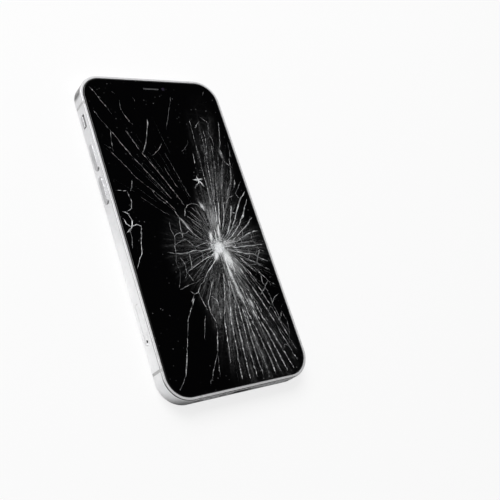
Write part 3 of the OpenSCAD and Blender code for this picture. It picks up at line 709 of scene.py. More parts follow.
def make_band():
    """The aluminium band, and the plastic breaks let into it."""
    solid = carve(band_blank(), band_ways() + break_boxes())
    band = build("band", *solid, [M["band"]], replaces=["mid_frame"], slot="band_aluminium", smooth=28)
    band.modifiers.new("normals", "WEIGHTED_NORMAL").keep_sharp = True
    inserts = carve(band_blank(0.02), [joined(break_boxes(-0.015))], "INTERSECT")
    build("antenna_break_inserts", *inserts, [M["break"]], replaces=["antenna_breaks"], slot="break_plastic")


# ---------------------------------------------------------------- cracks

class Crack:
    """One crack: a line of points in mm, with its width at the start, middle and end."""

    def __init__(self, points, width, taper=1.0):
        self.points, self.width, self.taper = [Vector(p) for p in points], width, taper

    def widths(self):
        """The width at each point: it swells and pinches, and closes towards the tip."""
        total = max(sum((b - a).length for a, b in zip(self.points, self.points[1:])), 1e-6)
        run, out = 0.0, []
        for i, p in enumerate(self.points):
            if i:
                run += (p - self.points[i - 1]).length
            beads = 1.2 if (p - HIT).length < 24 else 2.4
            swell = max(0.12, 0.9 + beads * noise.noise((p.x * 0.75, p.y * 0.75, 4.2)))
            ends = min(1.0, 0.35 + 1.6 * min(run, total - run) / max(self.width * 4, 1.2))
            out.append(max(0.02, self.width * swell * ends * (1 - self.taper * run / total)))
        return out


def inside_outline(p, inset):
    """Whether a point lies inside the phone's outline drawn in by inset."""
    x, y = abs(p[0]), abs(p[1])
    if x > SIDE_X - inset or y > END_Y - inset:
        return False
    dx, dy = x - (SIDE_X - CORNER_R), y - (END_Y - CORNER_R)
    return dx <= 0 or dy <= 0 or math.hypot(dx, dy) <= CORNER_R - inset


def wander(start, angle, length, step, sway, rng):
    """A nearly straight line that drifts a little as it runs, and stops short of the edge."""
    points, bend, gone = [Vector(start)], 0.0, 0.0
    while gone < length:
        hop = step * rng.uniform(0.6, 1.4)
        bend = 0.55 * bend + rng.gauss(0, sway)
        p = points[-1] + hop * toward(angle + bend)
        if not inside_outline(p, CRACK_STOP):
            break
        points.append(p)
        gone += hop
    return points


def rays(hit, low, high, count, starts, lengths, width, rng, sway, step, branch=0.0):
    """Cracks that run out from a blow, between two angles in degrees."""
    cracks = []
    for i in range(count):
        share = (i + rng.uniform(0.15, 0.85)) / count
        a = math.radians(low + (high - low) * share)
        start = rng.uniform(*starts)
        length = rng.uniform(*lengths)
        points = wander(hit + start * toward(a), a, length, step, sway, rng)
        if len(points) < 2:
            continue
        cracks.append(Crack(points, width * rng.uniform(0.6, 1.4)))
        if rng.random() < branch and len(points) > 4:
            k = rng.randrange(2, len(points) - 1)
            turn = a + rng.choice((-1, 1)) * math.radians(rng.uniform(12, 38))
            side = wander(points[k], turn, length * rng.uniform(0.2, 0.5), step * 0.8, sway * 1.5, rng)
            if len(side) > 1:
                cracks.append(Crack(side, width * 0.7))
    return cracks


def rings(hit, low, high, radii, width, rng, gaps, step, sway):
    """Short cross cracks that link the rays round a blow, like a web."""
    cracks = []
    for r in radii:
        a, run = low + rng.uniform(0, step), []
        while a < high:
            if rng.random() < gaps:
                if len(run) > 1:
                    cracks.append(Crack(run, width * rng.uniform(0.5, 1.3), 0.5))
                run = []
            else:
                reach = r * (1 + rng.gauss(0, sway))
                p = hit + reach * toward(math.radians(a))
                if inside_outline(p, CRACK_STOP):
                    run.append(p)
            a += step * rng.uniform(0.5, 1.5)
        if len(run) > 1:
            cracks.append(Crack(run, width * rng.uniform(0.5, 1.3), 0.5))
    return cracks


# Every crack that runs its own way, one to a line: its width, then its points in mm.
CRACKS = """
# long and faint, from the top left corner towards the blow
.20 -30.6,67.6 -29,65 -27.4,61 -25.6,58 -23.4,53
.21 -32,56 -30.4,52 -28,48 -25.4,43.6 -23.6,39.6 -21,35 -19,31.6 -14.6,24.6 -11,19 -7,12
.20 -19.4,45.6 -17.6,41.6 -16,37 -14.4,34 -13,31.6 -11.6,29 -10,26 -7,20 -4,14 -2,9
.19 -29.6,36 -27,32 -23.4,26.6 -21,22.6 -15,16.6 -10,11 -7,7
.13 -26.6,46.6 -27.4,42 -28.3,36.6 -31.6,39.2
.14 -18,61 -18.7,57 -18,54.4 -16.4,51 -14.6,48.4
.3 -6.6,52 -8.4,47 -10.4,42 -12.4,38 -14.6,34.4
.17 -10.8,33.2 -8.4,34.4 -6.2,36.2 -3,40
.08 9,64 7,59 4.6,54 2.6,50 1,46
.12 5.4,35 8.4,37.6 10.2,39.4 10.7,41.6
.16 -20.6,65.4 -19.2,64.4
.16 -12.9,57.4 -11.9,56.8
.16 -10.9,62.6 -10.4,61
.16 -3,49.2 -2.2,48.2
.16 -5,44.2 -4.4,43
.3 27.2,65.4 28,66.8 28.9,67.8
.14 25.8,61.4 28.4,61.6
.12 2.2,12.7 0.6,19 -1.4,27 -3.5,35
.12 -2,16.6 -4,22 -6.2,28
.12 -10.7,4.6 -15,8 -19.1,11.6 -22,14
.13 -10.2,9.3 -14.3,13.8 -16,17
# curling at the left edge
.39 -32.6,17.4 -29,17 -27,17.2
.31 -23.6,22 -24.6,18.6 -25.8,16.8
.26 -27.4,17 -26.6,12 -27.6,9 -29.8,7.6
.78 -32.4,7.8 -31.2,7.4 -30,6.6
.36 -32.6,4.6 -32,2 -30.2,0.6 -29,3.4 -30,6.6
.65 -32.7,-1.6 -31,-0.4 -29.4,1.1
.39 -29.4,1.1 -27.6,1.6 -25.6,0.6 -26.6,-3 -28,-7 -29,-11.4 -31.2,-14.6 -33,-17.4
.21 -31,-0.8 -31.6,-5 -32.4,-9
# the web left of the blow
.34 -6.4,3.4 -4.8,1 -3.8,-1.6 -2,-4.4 0,-6.4 1.6,-7.6
.2 -3.4,3.6 -2.6,6.6 -0.6,8.8 2,9.6 4.6,9 6,7
.14 -11.8,2 -12.4,-1.4 -11.5,-5 -12.6,-9 -13.4,-13
.34 -13.6,-12.8 -8,-13 -3.6,-12.1 0,-12.6 4.6,-12.2
.2 -17,-11.8 -13.6,-12.8
.22 -6.6,-6.7 -4.4,-8.8 -3,-11.8
.3 4.6,-15 1,-16 -3,-17.6 -6,-19.2 -8,-20.2
.5 5.2,-17.2 2,-20 -1,-22.4 -2.4,-24.2
.3 -8,-20.2 -10.6,-21.4 -12,-23.6
.08 -13.4,-13 -14.6,-17 -14,-21 -15.4,-25 -17,-28.4
.18 -7,-13 -7.2,-17 -8,-20.2
.16 -0.8,-12.5 -0.6,-15 -1.8,-17
.18 -3.4,-10.8 0,-9.7 3.4,-9.2
.16 -12.6,-9 -9,-7.2 -6.6,-6.7
.16 -11.5,-5 -8.6,-3.6 -5.6,-4.2 -3.6,-3
.16 -12,-14 -10.6,-18 -11,-21.6 -12.6,-24.4
.36 -16.8,-28.5 -14.6,-28 -12,-27
.08 -12,-27 -8.4,-26.4 -5,-24.8 -2.4,-24.2
.26 -12.2,-29.6 -10.6,-31.2 -8.4,-30.6 -6.4,-27.6
.24 -13,-34.4 -10.6,-31.2
.18 -8.4,-30.6 -7.6,-35 -6.8,-38.4
.16 -2.4,-24.2 -4.6,-26.6 -6.4,-27.6
.16 -7.6,-6 -7.4,-1.6 -6.4,3.4 -8,7.4
.14 -9,-25.6 -11,-21.6
.15 -1,1.6 1.4,-1 3.6,-3.4
.14 -2.4,4.2 0.4,1.4 3.6,-1
.14 -1,6.4 1.6,3.6 4.4,0.6
.13 1,8 3.4,5.4 5,3
# lower left
.2 -11,-33 -14,-37 -17.2,-41.6 -18.8,-46 -20.6,-51 -22.4,-55.4
.43 -22.4,-55.4 -24,-59.6 -25.6,-63.4
.24 -25.6,-63.4 -28,-66.4 -30.2,-68.6
.31 -4.4,-44 -5.4,-49 -6.8,-53 -8.4,-57
.19 -8.4,-57 -11,-61 -13.5,-65 -16.4,-69.4
.2 -8.4,-57 -9.4,-62 -10.6,-67
.13 -8.6,-41 -10.6,-46 -12.4,-50.6
.29 0,-26.6 -2.6,-31 -5.4,-36 -5.6,-40 -4.4,-44
.24 -3,-33 -0.8,-35 -0.9,-40 -1.8,-44
# the fan down to the bottom edge
.55 6.6,-24 5,-30 3,-36 1,-41 -0.5,-46 -1.5,-52 -2.5,-57 -3.9,-62.4
.55 8,-27 7,-32 5,-38 3.2,-44 2.5,-49 1.5,-56 0.5,-61 -0.2,-66 -0.5,-69.4
.53 8,-36 6.5,-42 5.8,-47 5,-53 4.2,-60 3.6,-66 3.4,-70
.58 9,-38 8.6,-44 8.2,-49 7.5,-55 7.2,-62 7,-66 7,-70
.62 10.6,-40 10.6,-46 10.2,-52 9.9,-58 9.9,-64 10,-70
.58 11.4,-40 11.6,-45 12,-52 12.5,-58 12.9,-64 13.2,-70
.62 12,-36 12.6,-42 14,-49 15,-55 15.8,-61 16.4,-67 16.6,-70
.66 13,-30 14,-36 15.6,-42 16.6,-48 17.4,-54 18.2,-60 18.9,-66 19.6,-70
.58 15,-34 17,-44 18.6,-50 20,-56 21.4,-62 22.4,-67 23,-70
.58 16.4,-32 19,-44 21,-50 22.6,-55 24,-60 25.4,-65 26.7,-69.6
.51 16,-22 18,-28 21,-36 23.6,-44 25.4,-50 26.8,-56 28.4,-61 30,-66.6
.43 17,-20 20,-26 22.6,-32 25,-39 26.6,-44 28,-50 29.6,-56 31.4,-62
.87 15.7,-36.8 16,-39.4 16.5,-42
.58 11.4,-40.6 12.4,-42
.29 13,-47 14.6,-49.6
.43 21,-45.6 21.8,-47.4
.29 24.4,-61 26,-58.6 27.8,-59.8 28.7,-62.4
# the net at the lower right
.4 23.6,-22.6 26,-26 28.6,-29.4 32,-32
.14 26,-26 25.4,-30 27,-36 26.8,-40 27.8,-44 28,-47.6 30.4,-44
.13 21.6,-36 25,-33.2 28.6,-29.4
.12 25,-33.2 22.6,-29.6 19.6,-28
.13 26.8,-40 29.6,-37 32.4,-36
.2 30.4,-43 32.6,-40.6
.12 26.8,-40 24,-42.4 22.4,-46
.12 30.4,-44 31.6,-49 30.6,-54
.12 28,-47.6 30.6,-54 28.6,-59
.2 20,-44 19,-39 17.6,-35 15.6,-31
.16 20,-24 22.6,-29.6
# right of the blow, out to the edge
.72 15.6,-12.3 21,-12.4 26,-12.2 32.4,-12.3
.61 14,-13.6 19,-15 22,-16 25.6,-16.4
.67 13.6,-10.2 19,-9.8 23,-8 27,-6.4 32.4,-5.2
.72 17,-9 20,-7.2 23,-5.4 27,-2.6 31.8,1.2
.52 14,-9 17,-7.4 20,-5 23.4,-2 25,0.4
.49 13.4,-8.4 16,-6.4 19.6,-2.4 23.6,3.4
.46 13.4,-7.4 15.4,-5.6 18,-2 19.6,1 21.2,4.6 22.6,8.2
.43 13,-5 14.6,-1.6 16.4,2 17.8,6 18.6,9.2
.49 12.6,-3 13.8,2 15.4,7 16.2,10
.43 12,0 12.9,4 13.8,8 14.2,12
.64 23.6,3.4 26,7 28.4,10.4 32.4,14.2
.43 25,0.4 27,2.6 29,5.6 32.4,10.4
1.01 25.6,0.8 27,2 28,3.8
.49 18,9.2 20.2,9 22.6,11.6 26,13
.43 14,-11.6 18,-11.6
.49 15.6,-14.8 18,-17.4 20.4,-21 23.6,-24.6
.49 17,-15.8 22,-18.8 26,-20.8 29,-23.2 32.2,-24.8
.38 14.6,-17 17,-20.4 20,-24 21.4,-27
.35 25.6,-16.4 29,-19 32.4,-20.6
.58 28.4,-15.4 30,-14.7 31.8,-15.4
.12 22,-18.8 23.6,-16.4 24,-12.4
.12 26,-20.8 27.6,-17.6 30,-14.7 28.6,-12.2 27.6,-9 28,-6
.12 20.4,-21 24.4,-21.4 26,-20.8
.14 23,-8 24.2,-4.8 23.4,-2
.12 20,-7.2 21.6,-9.6 21,-12.4
.14 17.4,-9.6 17.8,-12.4 17.4,-14.6
.29 21.2,4.6 23.6,3.4
.18 28.4,10.4 27,13.4 30,17 32.6,20
# up the right side
.15 12.2,4 12.4,12 13,20 13.6,30 14.4,42 15.2,52
.22 13.6,8 15,16 16.4,24 17.4,30 18.4,38 19.4,46
.22 16,10 17.6,16 19.6,24 20.8,28 22,34 22.8,39
.22 18.4,9.6 20,15 22.4,21 24,26 26.4,31
.7 26.2,31 26.9,33.4 26.4,36.6
.17 26.4,36.6 28.2,40 29.4,44.4 31,51
.26 21,11 24,16 27,20 28.6,25 30.4,32
.6 27.4,16.6 28.4,18.4 28.9,20.4
.3 23.4,45.4 24.4,48 25.2,50.4
.22 16.8,47.6 18.8,49.8 20.4,51.2
.26 21.4,53.8 23.2,52 25.2,50.4
.2 10.4,29 11,33.4 11.2,35
.2 23.6,37 24.4,41 23.4,45.4
.26 26.4,31 28.2,28.6 30.6,26.4
.2 31,32 32,36 32.4,40
.18 12.6,24 14,31 14.2,37
.2 17.4,30 19,35 20.6,42 21,47
# the small blow
.8 6.4,21.2 8,21.1 9.4,21.2
.8 9.4,21.2 11,21.4 12,21.3
.9 9,23.2 9.1,22 9.4,21.2 9.3,19.4
.6 6.5,16.6 7.4,18.4 9.3,19.4
.75 11.4,17.6 10.6,19.2 9.4,21.2
.3 10.6,23.6 11.4,24.8
.9 5.7,10.4 6.7,8.2 7.6,5.6
# arms of the main blow
.9 6.7,-4.2 6.5,-7 5.6,-9.4 4.7,-12
1.1 12.3,-0.8 11.5,-4 10.7,-7 9.8,-9
.8 5.7,-17.4 5.7,-15.4 6.6,-13
.9 10.4,-14 10,-18 10.1,-22 10.7,-26.4
.7 11.6,-14.4 13,-18 12.9,-22.4 12.4,-25
.5 11,-26.4 11.4,-31 12.4,-35 13.6,-38.8
.5 11.4,-9.4 14.6,-9.2 18.4,-9.6
.5 11.4,-11.6 15,-11.8
.5 8.6,-9 9.2,-5.6 9.4,-2.6
"""


# Fine rays from the main blow: between which angles, how many, how far out they start, how long they are,
# how much they sway, their step and how often they branch. Then the rings: angles, radii, width, share of
# gaps, degrees per step and sway.
FINE = 0.07
RAYS = (
    (-46, 60, 44, (4, 12), (6, 18), 0.07, 2.4, 0.3), (58, 80, 26, (12, 40), (10, 26), 0.03, 2.4, 0.2),
    (-104, -62, 44, (8, 44), (6, 20), 0.03, 2.2, 0.2), (-66, -30, 18, (8, 26), (6, 16), 0.1, 1.6, 0.6),
    (-170, -104, 22, (5, 16), (5, 12), 0.09, 1.8, 0.5), (84, 190, 26, (4, 10), (5, 13), 0.09, 1.8, 0.5),
)
RINGS = (
    (-60, 62, (9, 13, 18, 22), FINE, 0.5, 7, 0.08), (-180, -100, (10, 15, 20), FINE, 0.5, 9, 0.1),
    (-180, 180, (3, 4.6, 6.5), 0.12, 0.35, 14, 0.12),
)


def crack_pattern():
    """Every crack of the glass: the ones above, and fine seeded ones between them."""
    rng = random.Random(27)
    cracks = []
    for line in CRACKS.strip().splitlines():
        if line.startswith("#"):
            continue
        width, *points = line.split()
        points = [tuple(float(v) for v in p.split(",")) for p in points]
        cracks.append(Crack(ragged(points, rng), float(width), 0.3))
    for low, high, count, start, length, sway, step, branch in RAYS:
        cracks += rays(HIT, low, high, count, start, length, FINE, rng, sway, step, branch)
    cracks += rays(HIT, 100, 142, 12, (16, 50), (8, 22), 0.05, rng, 0.03, 2.6, 0.1)
    for low, high, radii, width, gaps, step, sway in RINGS:
        cracks += rings(HIT, low, high, radii, width, rng, gaps, step, sway)
    cracks += rays(HIT, -180, 180, 26, (1.6, 3), (2, 5), 0.16, rng, 0.12, 1.0)
    return cracks


def ragged(points, rng, step=1.1):
    """Adds slightly uneven points between the given ones."""
    out = [Vector(points[0])]
    for a, b in zip(points, points[1:]):
        a, b = Vector(a), Vector(b)
        n = max(1, round((b - a).length / step))
        side = (b - a).orthogonal().normalized()
        for i in range(1, n + 1):
            drift = 0 if i == n else rng.gauss(0, 0.11)
            out.append(a.lerp(b, i / n) + side * drift)
    return out


# ---------------------------------------------------------------- cover glass

def glass_height(p, fan):
    """How high a corner of a shard lies: shards tilt a little, and sink towards the blows."""
    depth = 0.0
    for hit, sink, size in ((HIT, 0.22, 3.4), (SMALL_HIT, 0.1, 1.4)):
        depth += sink * math.exp(-((p - hit).length / size) ** 2)
    away = (fan - HIT).length
    angle = math.atan2(fan.y - HIT.y, fan.x - HIT.x)
    loose = math.exp(-away / 45) * 0.022
    tilt = noise.noise((math.cos(angle) * 9, math.sin(angle) * 9, away * 0.07))
    tilt += 0.5 * noise.noise((fan.x * 0.45, fan.y * 0.45, 7.7))
    return GLASS_TOP - depth + loose * tilt


def glass_plan(cracks):
    """Divides the glass along its cracks. Gives points, triangles and the cracked edges' widths."""
    rim = outline(GLASS_INSET + EDGE_ROUND)
    points = [Vector(p) for p in rim]
    edges = sides(range(len(rim)))
    widths_in = [0.0] * len(edges)
    for crack in cracks:
        w = crack.widths()
        for i, (here, after) in enumerate(zip(w, w[1:]), len(points)):
            edges.append((i, i + 1))
            widths_in.append((here + after) / 2)
        points += crack.points
    points += filling(points)
    slot = [Vector((x, y + EAR_Y)) for x, y in pill(EAR_LEN, EAR_H, 8)]
    edges += sides(range(len(points), len(points) + len(slot)))
    points += slot
    out_points, out_edges, out_faces, _, origins, _ = delaunay_2d_cdt(points, edges, [], 0, 1e-4)
    split = {}
    for edge, origin in zip(out_edges, origins):
        found = [widths_in[i] for i in origin if i < len(widths_in) and widths_in[i]]
        if found:
            split[frozenset(edge)] = max(found)
    keep = []
    for face in (tuple(f) for f in out_faces):
        centre = sum((out_points[i] for i in face), Vector((0, 0))) / len(face)
        past_end = max(abs(centre.x) - (EAR_LEN - EAR_H) / 2, 0)
        in_slot = math.hypot(past_end, centre.y - EAR_Y) < EAR_H / 2
        if inside_outline(centre, GLASS_INSET + EDGE_ROUND - 1e-3) and not in_slot:
            keep.append(face)
    return out_points, keep, split


def filling(taken, step=2.4, clear=1.0):
    """Extra points between the cracks, so that no shard is made of thin triangles."""
    rng = random.Random(3)
    tree = KDTree(len(taken))
    for i, p in enumerate(taken):
        tree.insert((p[0], p[1], 0), i)
    tree.balance()
    found = []
    for i in range(int(2 * SIDE_X / step) + 1):
        for k in range(int(2 * END_Y / step) + 1):
            p = Vector((-SIDE_X + (i + rng.uniform(0.1, 0.9)) * step, -END_Y + (k + rng.uniform(0.1, 0.9)) * step))
            near = tree.find((p.x, p.y, 0))[2]
            beside_slot = abs(p.x) < EAR_LEN / 2 + 0.6 and abs(p.y - EAR_Y) < EAR_H / 2 + 0.6
            if near > clear and inside_outline(p, GLASS_INSET + 1.2) and not beside_slot:
                found.append(p)
    return found


def fans_at(vertex, faces, split):
    """Groups the faces round a vertex that no crack parts."""
    left = list(faces)
    groups = []
    while left:
        group = [left.pop()]
        grew = True
        while grew:
            grew = False
            for face in list(left):
                for other in group:
                    shared = (set(face) & set(other)) - {vertex}
                    if any(frozenset((vertex, s)) not in split for s in shared):
                        group.append(face)
                        left.remove(face)
                        grew = True
                        break
        groups.append(group)
    return groups


def make_glass(cracks):
    """The shattered cover glass: shards parted by V-shaped cracks with broken white walls."""
    plan, faces, split = glass_plan(cracks)
    around = {}
    for face in faces:
        for v in face:
            around.setdefault(v, []).append(face)
    top, points, bottom = {}, [], {}
    for v, ring in around.items():
        groups = fans_at(v, ring, split)
        p = plan[v]
        for group in groups:
            fan = sum((plan[i] for f in group for i in f), Vector((0, 0))) / sum(len(f) for f in group)
            offset = opening(v, group, plan, split) if len(groups) > 1 else Vector((0, 0))
            q = p + offset
            for face in group:
                top[v, face] = len(points)
            points.append((q.x, q.y, glass_height(p, fan)))
    for v in around:
        copies = {top[v, f] for f in around[v]}
        if len(copies) == 1:
            bottom[v] = copies.pop()
        else:
            gap = max((Vector(points[c][:2]) - plan[v]).length for c in copies)
            low = min(points[c][2] for c in copies) - min(0.28, 0.03 + gap * 0.8)
            bottom[v] = len(points)
            points.append((plan[v].x, plan[v].y, low))
    made, kinds = [], []
    for face in faces:
        made.append(tuple(top[v, face] for v in face))
        kinds.append(0)
        for v, w in sides(face):
            if frozenset((v, w)) in split:
                wall = [top[w, face], top[v, face], bottom[v], bottom[w]]
                wall = [x for k, x in enumerate(wall) if x not in wall[:k]]
                if len(wall) > 2:
                    made.append(tuple(wall))
                    kinds.append(1)
    close_rim(points, made, kinds, plan, faces, top)
    build("shattered_glass", points, made, [M["glass"], M["fracture"]], replaces=["cover_glass"],
          slot="front_glass", smooth=0, face_material=kinds)


def opening(v, group, plan, split):
    """How far a shard's corner draws back from its cracks."""
    p = plan[v]
    pulls, least = [], 1e9
    for face in group:
        others = [i for i in face if i != v]
        for i in others:
            if frozenset((v, i)) in split:
                along = (plan[i] - p).normalized()
                side = Vector((-along.y, along.x))
                third = [k for k in others if k != i]
                if third and (plan[third[0]] - p).dot(side) < 0:
                    side = -side
                pulls.append((side, split[frozenset((v, i))] / 2))
        if len(others) == 2:
            a, b = plan[others[0]], plan[others[1]]
            base = (b - a).length
            if base > 1e-6:
                least = min(least, abs((a - p).cross(b - p)) / base)
    if not pulls:
        return Vector((0, 0))
    (n1, w1), (n2, w2) = pulls[0], pulls[-1]
    cross, mean = n1.cross(n2), n1 + n2
    if len(pulls) == 1:
        move = n1 * w1
    elif abs(cross) > 0.25:     # where the two cracks' sides meet
        move = Vector((w1 * n2.y - w2 * n1.y, n1.x * w2 - n2.x * w1)) / cross
    else:                       # nearly in line, or a shard's tip
        move = mean.normalized() * max(w1, w2) if mean.length > 0.2 else Vector((0, 0))
    limit = min(0.42 * least, 2.2 * max(w for _, w in pulls))
    if move.length > limit:
        move = move.normalized() * limit
    return move


def close_rim(points, made, kinds, plan, faces, top):
    """Adds the glass's rounded edge, its underside and the wall of the earpiece slot."""
    count = {}
    for face in faces:
        for v, w in sides(face):
            count.setdefault(frozenset((v, w)), []).append((v, w, face))
    border = [uses[0] for uses in count.values() if len(uses) == 1]
    after = {v: (w, face) for v, w, face in border}
    seen = set()
    for first in list(after):
        if first in seen:
            continue
        loop, v = [], first
        while v not in seen:
            seen.add(v)
            loop.append(v)
            v = after[v][0]
        ring = [top[v, after[v][1]] for v in loop]
        slot = abs(plan[loop[0]].x) < EAR_LEN and abs(plan[loop[0]].y - EAR_Y) < EAR_H
        previous = ring
        if slot:
            levels = [(0.0, GLASS_LO.z)]
        else:
            turns = [math.radians(90 * k / 5) for k in range(1, 6)]
            levels = [(EDGE_ROUND * math.sin(a), GLASS_TOP - EDGE_ROUND * (1 - math.cos(a))) for a in turns]
            levels.append((EDGE_ROUND, GLASS_LO.z))
        for grow, z in levels:
            level = []
            for v in loop:
                x, y = plan[v]
                if grow:
                    dx, dy = max(abs(x) - (SIDE_X - CORNER_R), 0), max(abs(y) - (END_Y - CORNER_R), 0)
                    d = math.hypot(dx, dy) or 1
                    x += math.copysign(grow * dx / d, x)
                    y += math.copysign(grow * dy / d, y)
                level.append(len(points))
                points.append((x, y, z))
            for i, j in sides(range(len(loop))):
                made.append((previous[j], previous[i], level[i], level[j]))
                kinds.append(0)
            previous = level
        if slot:
            inner_bottom = previous
        else:
            outer_bottom = previous
    flat = outer_bottom + inner_bottom
    corners = [Vector(points[i][:2]) for i in flat]
    n = len(outer_bottom)
    edges = sides(range(n)) + sides(range(n, len(flat)))
    _, _, under, _, _, _ = delaunay_2d_cdt(corners, edges, [], 0, 1e-5)
    for face in under:
        if all(i >= n for i in face) or any(i >= len(flat) for i in face):
            continue
        made.append(tuple(flat[i] for i in reversed(face)))
        kinds.append(0)


def blob(at, reach, angle, rng):
    """A point scattered round a place, spread out along a direction."""
    a = math.radians(angle)
    c, s = math.cos(a), math.sin(a)
    along, across = rng.gauss(0, reach[0]), rng.gauss(0, reach[1])
    return at + Vector((c * along - s * across, s * along + c * across))


def caught(cracks, rng):
    """Where grains have caught along the cracks, in clusters, with the crack's width and heading there."""
    found = []
    for crack in cracks:
        for a, b in zip(crack.points, crack.points[1:]):
            for _ in range(2):
                p = a.lerp(b, rng.random())
                if noise.noise((p.x * 0.6, p.y * 0.6, 9.1)) > 0.1:
                    heading = math.atan2(b.y - a.y, b.x - a.x) + rng.gauss(0, 0.3)
                    far = 1 - 0.35 * min(1.0, (p - HIT).length / 50)
                    found.append((p, far * min(0.95, 0.6 + 0.7 * crack.width), heading))
    return found


# Heaps of grains: a place and the step from it, how far they spread along and across, heading, number, size.
HEAPS = (
    (HIT, (-0.6, 0.2), (2.2, 1.3), 20, 260, 0.62), (HIT, (-3.6, -3.4), (2.0, 0.9), 45, 90, 0.5),
    (HIT, (-1.6, 4.2), (2.2, 0.45), 108, 80, 0.45), (HIT, (2.8, 7.0), (2.6, 0.5), 88, 60, 0.4),
    (HIT, (3.0, -7.0), (5.0, 0.8), 91, 190, 0.45), (HIT, (4.4, -2.6), (2.4, 1.6), -30, 110, 0.38),
    (HIT, (3.2, -20.0), (5.0, 0.7), -76, 80, 0.36), (SMALL_HIT, (0, 0), (0.6, 0.5), 0, 50, 0.4),
    (SMALL_HIT, (-1.6, -2.6), (1.0, 0.28), 52, 26, 0.34), ((7.2, 7.2), (0, 0), (1.5, 0.4), -66, 60, 0.4),
    ((-30.8, 7.0), (0, 0), (0.8, 0.4), -30, 40, 0.36), ((-31.6, -1.0), (0, 0), (0.9, 0.3), 38, 36, 0.34),
    ((-5.2, 1.8), (0, 0), (1.4, 0.5), -55, 46, 0.32), ((16.2, -38.5), (0, 0), (1.5, 0.6), 80, 46, 0.34),
    ((12.4, -41.6), (0, 0), (1.2, 0.7), 60, 34, 0.32),
)


def make_crumbs(cracks):
    """Crushed glass that still sits in the two blows and along the cracks."""
    rng = random.Random(5)
    grains = caught([c for c in cracks if c.width > 0.12], rng)
    for place, offset, reach, angle, count, size in HEAPS:
        for _ in range(count):
            p = blob(Vector(place) + Vector(offset), reach, angle, rng)
            pull = (p - HIT).normalized() if (p - HIT).length > 0.1 else Vector((1, 0))
            grains.append((p, size, math.atan2(pull.y, pull.x) + rng.gauss(0, 0.5)))
    points, faces = [], []
    for p, size, turn in grains:
        long, wide = size * rng.uniform(0.35, 1.3), size * rng.uniform(0.2, 0.55)
        ax, ay = math.cos(turn), math.sin(turn)
        base = glass_height(p, p) - 0.03
        peak = min(base + rng.uniform(0.05, 0.24), GLASS_HI.z - 0.004)
        s = len(points)
        for u, v in ((-0.5, -0.5), (0.5, -0.35), (0.42, 0.5), (-0.4, 0.42)):
            u, v = u * long * rng.uniform(0.7, 1.2), v * wide * rng.uniform(0.7, 1.2)
            points.append((p.x + ax * u - ay * v, p.y + ay * u + ax * v, base))
        for u in (-0.2, 0.22):
            u, v = u * long * rng.uniform(0.5, 1.5), wide * rng.uniform(-0.2, 0.2)
            points.append((p.x + ax * u - ay * v, p.y + ay * u + ax * v, peak * rng.uniform(0.995, 1.0)))
        faces += [(s, s + 1, s + 5, s + 4), (s + 1, s + 2, s + 5), (s + 2, s + 3, s + 4, s + 5),
                  (s + 3, s, s + 4), (s + 3, s + 2, s + 1, s)]
    build("crushed_glass", points, faces, [M["crumbs"]], slot="front_glass", smooth=0)


# ---------------------------------------------------------------- bezel and back

def make_bezel():
    """The black plastic edge between the glass and the band."""
    _, high = node_box("display_bezel")
    outer, inner, shelf = SIDE_X - high.x, GLASS_INSET - 0.02, WALL + 0.3
    low_z, glass_z = GLASS_LO.z - 0.35, GLASS_LO.z - 0.01
    profile = [(outer, low_z), (outer, high.z - 0.06), (outer + 0.05, high.z - 0.01),
               (inner - 0.05, high.z - 0.01), (inner, high.z - 0.06), (inner, glass_z), (shelf, glass_z),
               (shelf, low_z)]
    edge = loop_stack([[(x, y, z) for x, y in outline(i)] for i, z in profile])
    tabs = [block((s * SCREW_X - 1.4, -END_Y + WALL + 0.1, 2.4), (s * SCREW_X + 1.4, -END_Y + WALL + 1.5, 6.3))
            for s in (-1, 1)]
    build("display_edge", *joined([edge, *tabs]), [M["black"]], replaces=["display_bezel"],
          slot="black_plastic")


def make_back():
    """The rear cover with its camera, flash and microphone openings, and the lenses in them."""
    z0, z1 = REAR_LO.z, REAR_HI.z
    profile = eased([(REAR_INSET + 3, z0), (REAR_INSET + 0.3, z0), (REAR_INSET, z0 + 0.3), (REAR_INSET, z1),
                     (REAR_INSET + 1, z1)], 0.25, 4)
    cuts = [stack([upright(disc(r, n), at, z) for z in (-1, 2)]) for at, r, n in
            [(at, 6.4, 64) for at in LENSES] + [(FLASH_AT, 2.2, 32), (REAR_MIC_AT, 0.5, 20)]]
    back = build("rear_glass_cover", *carve(slab(outline, profile), cuts), [M["rear"]],
                 replaces=["rear_cover"], slot="rear_glass")
    back.modifiers.new("normals", "WEIGHTED_NORMAL").keep_sharp = True
    make_lenses()


def turned(profile, at, steps=64):
    """A closed ring turned round an upright axis, from a closed profile of (radius, z)."""
    return loop_stack([upright(disc(r, steps), at, z) for r, z in profile])


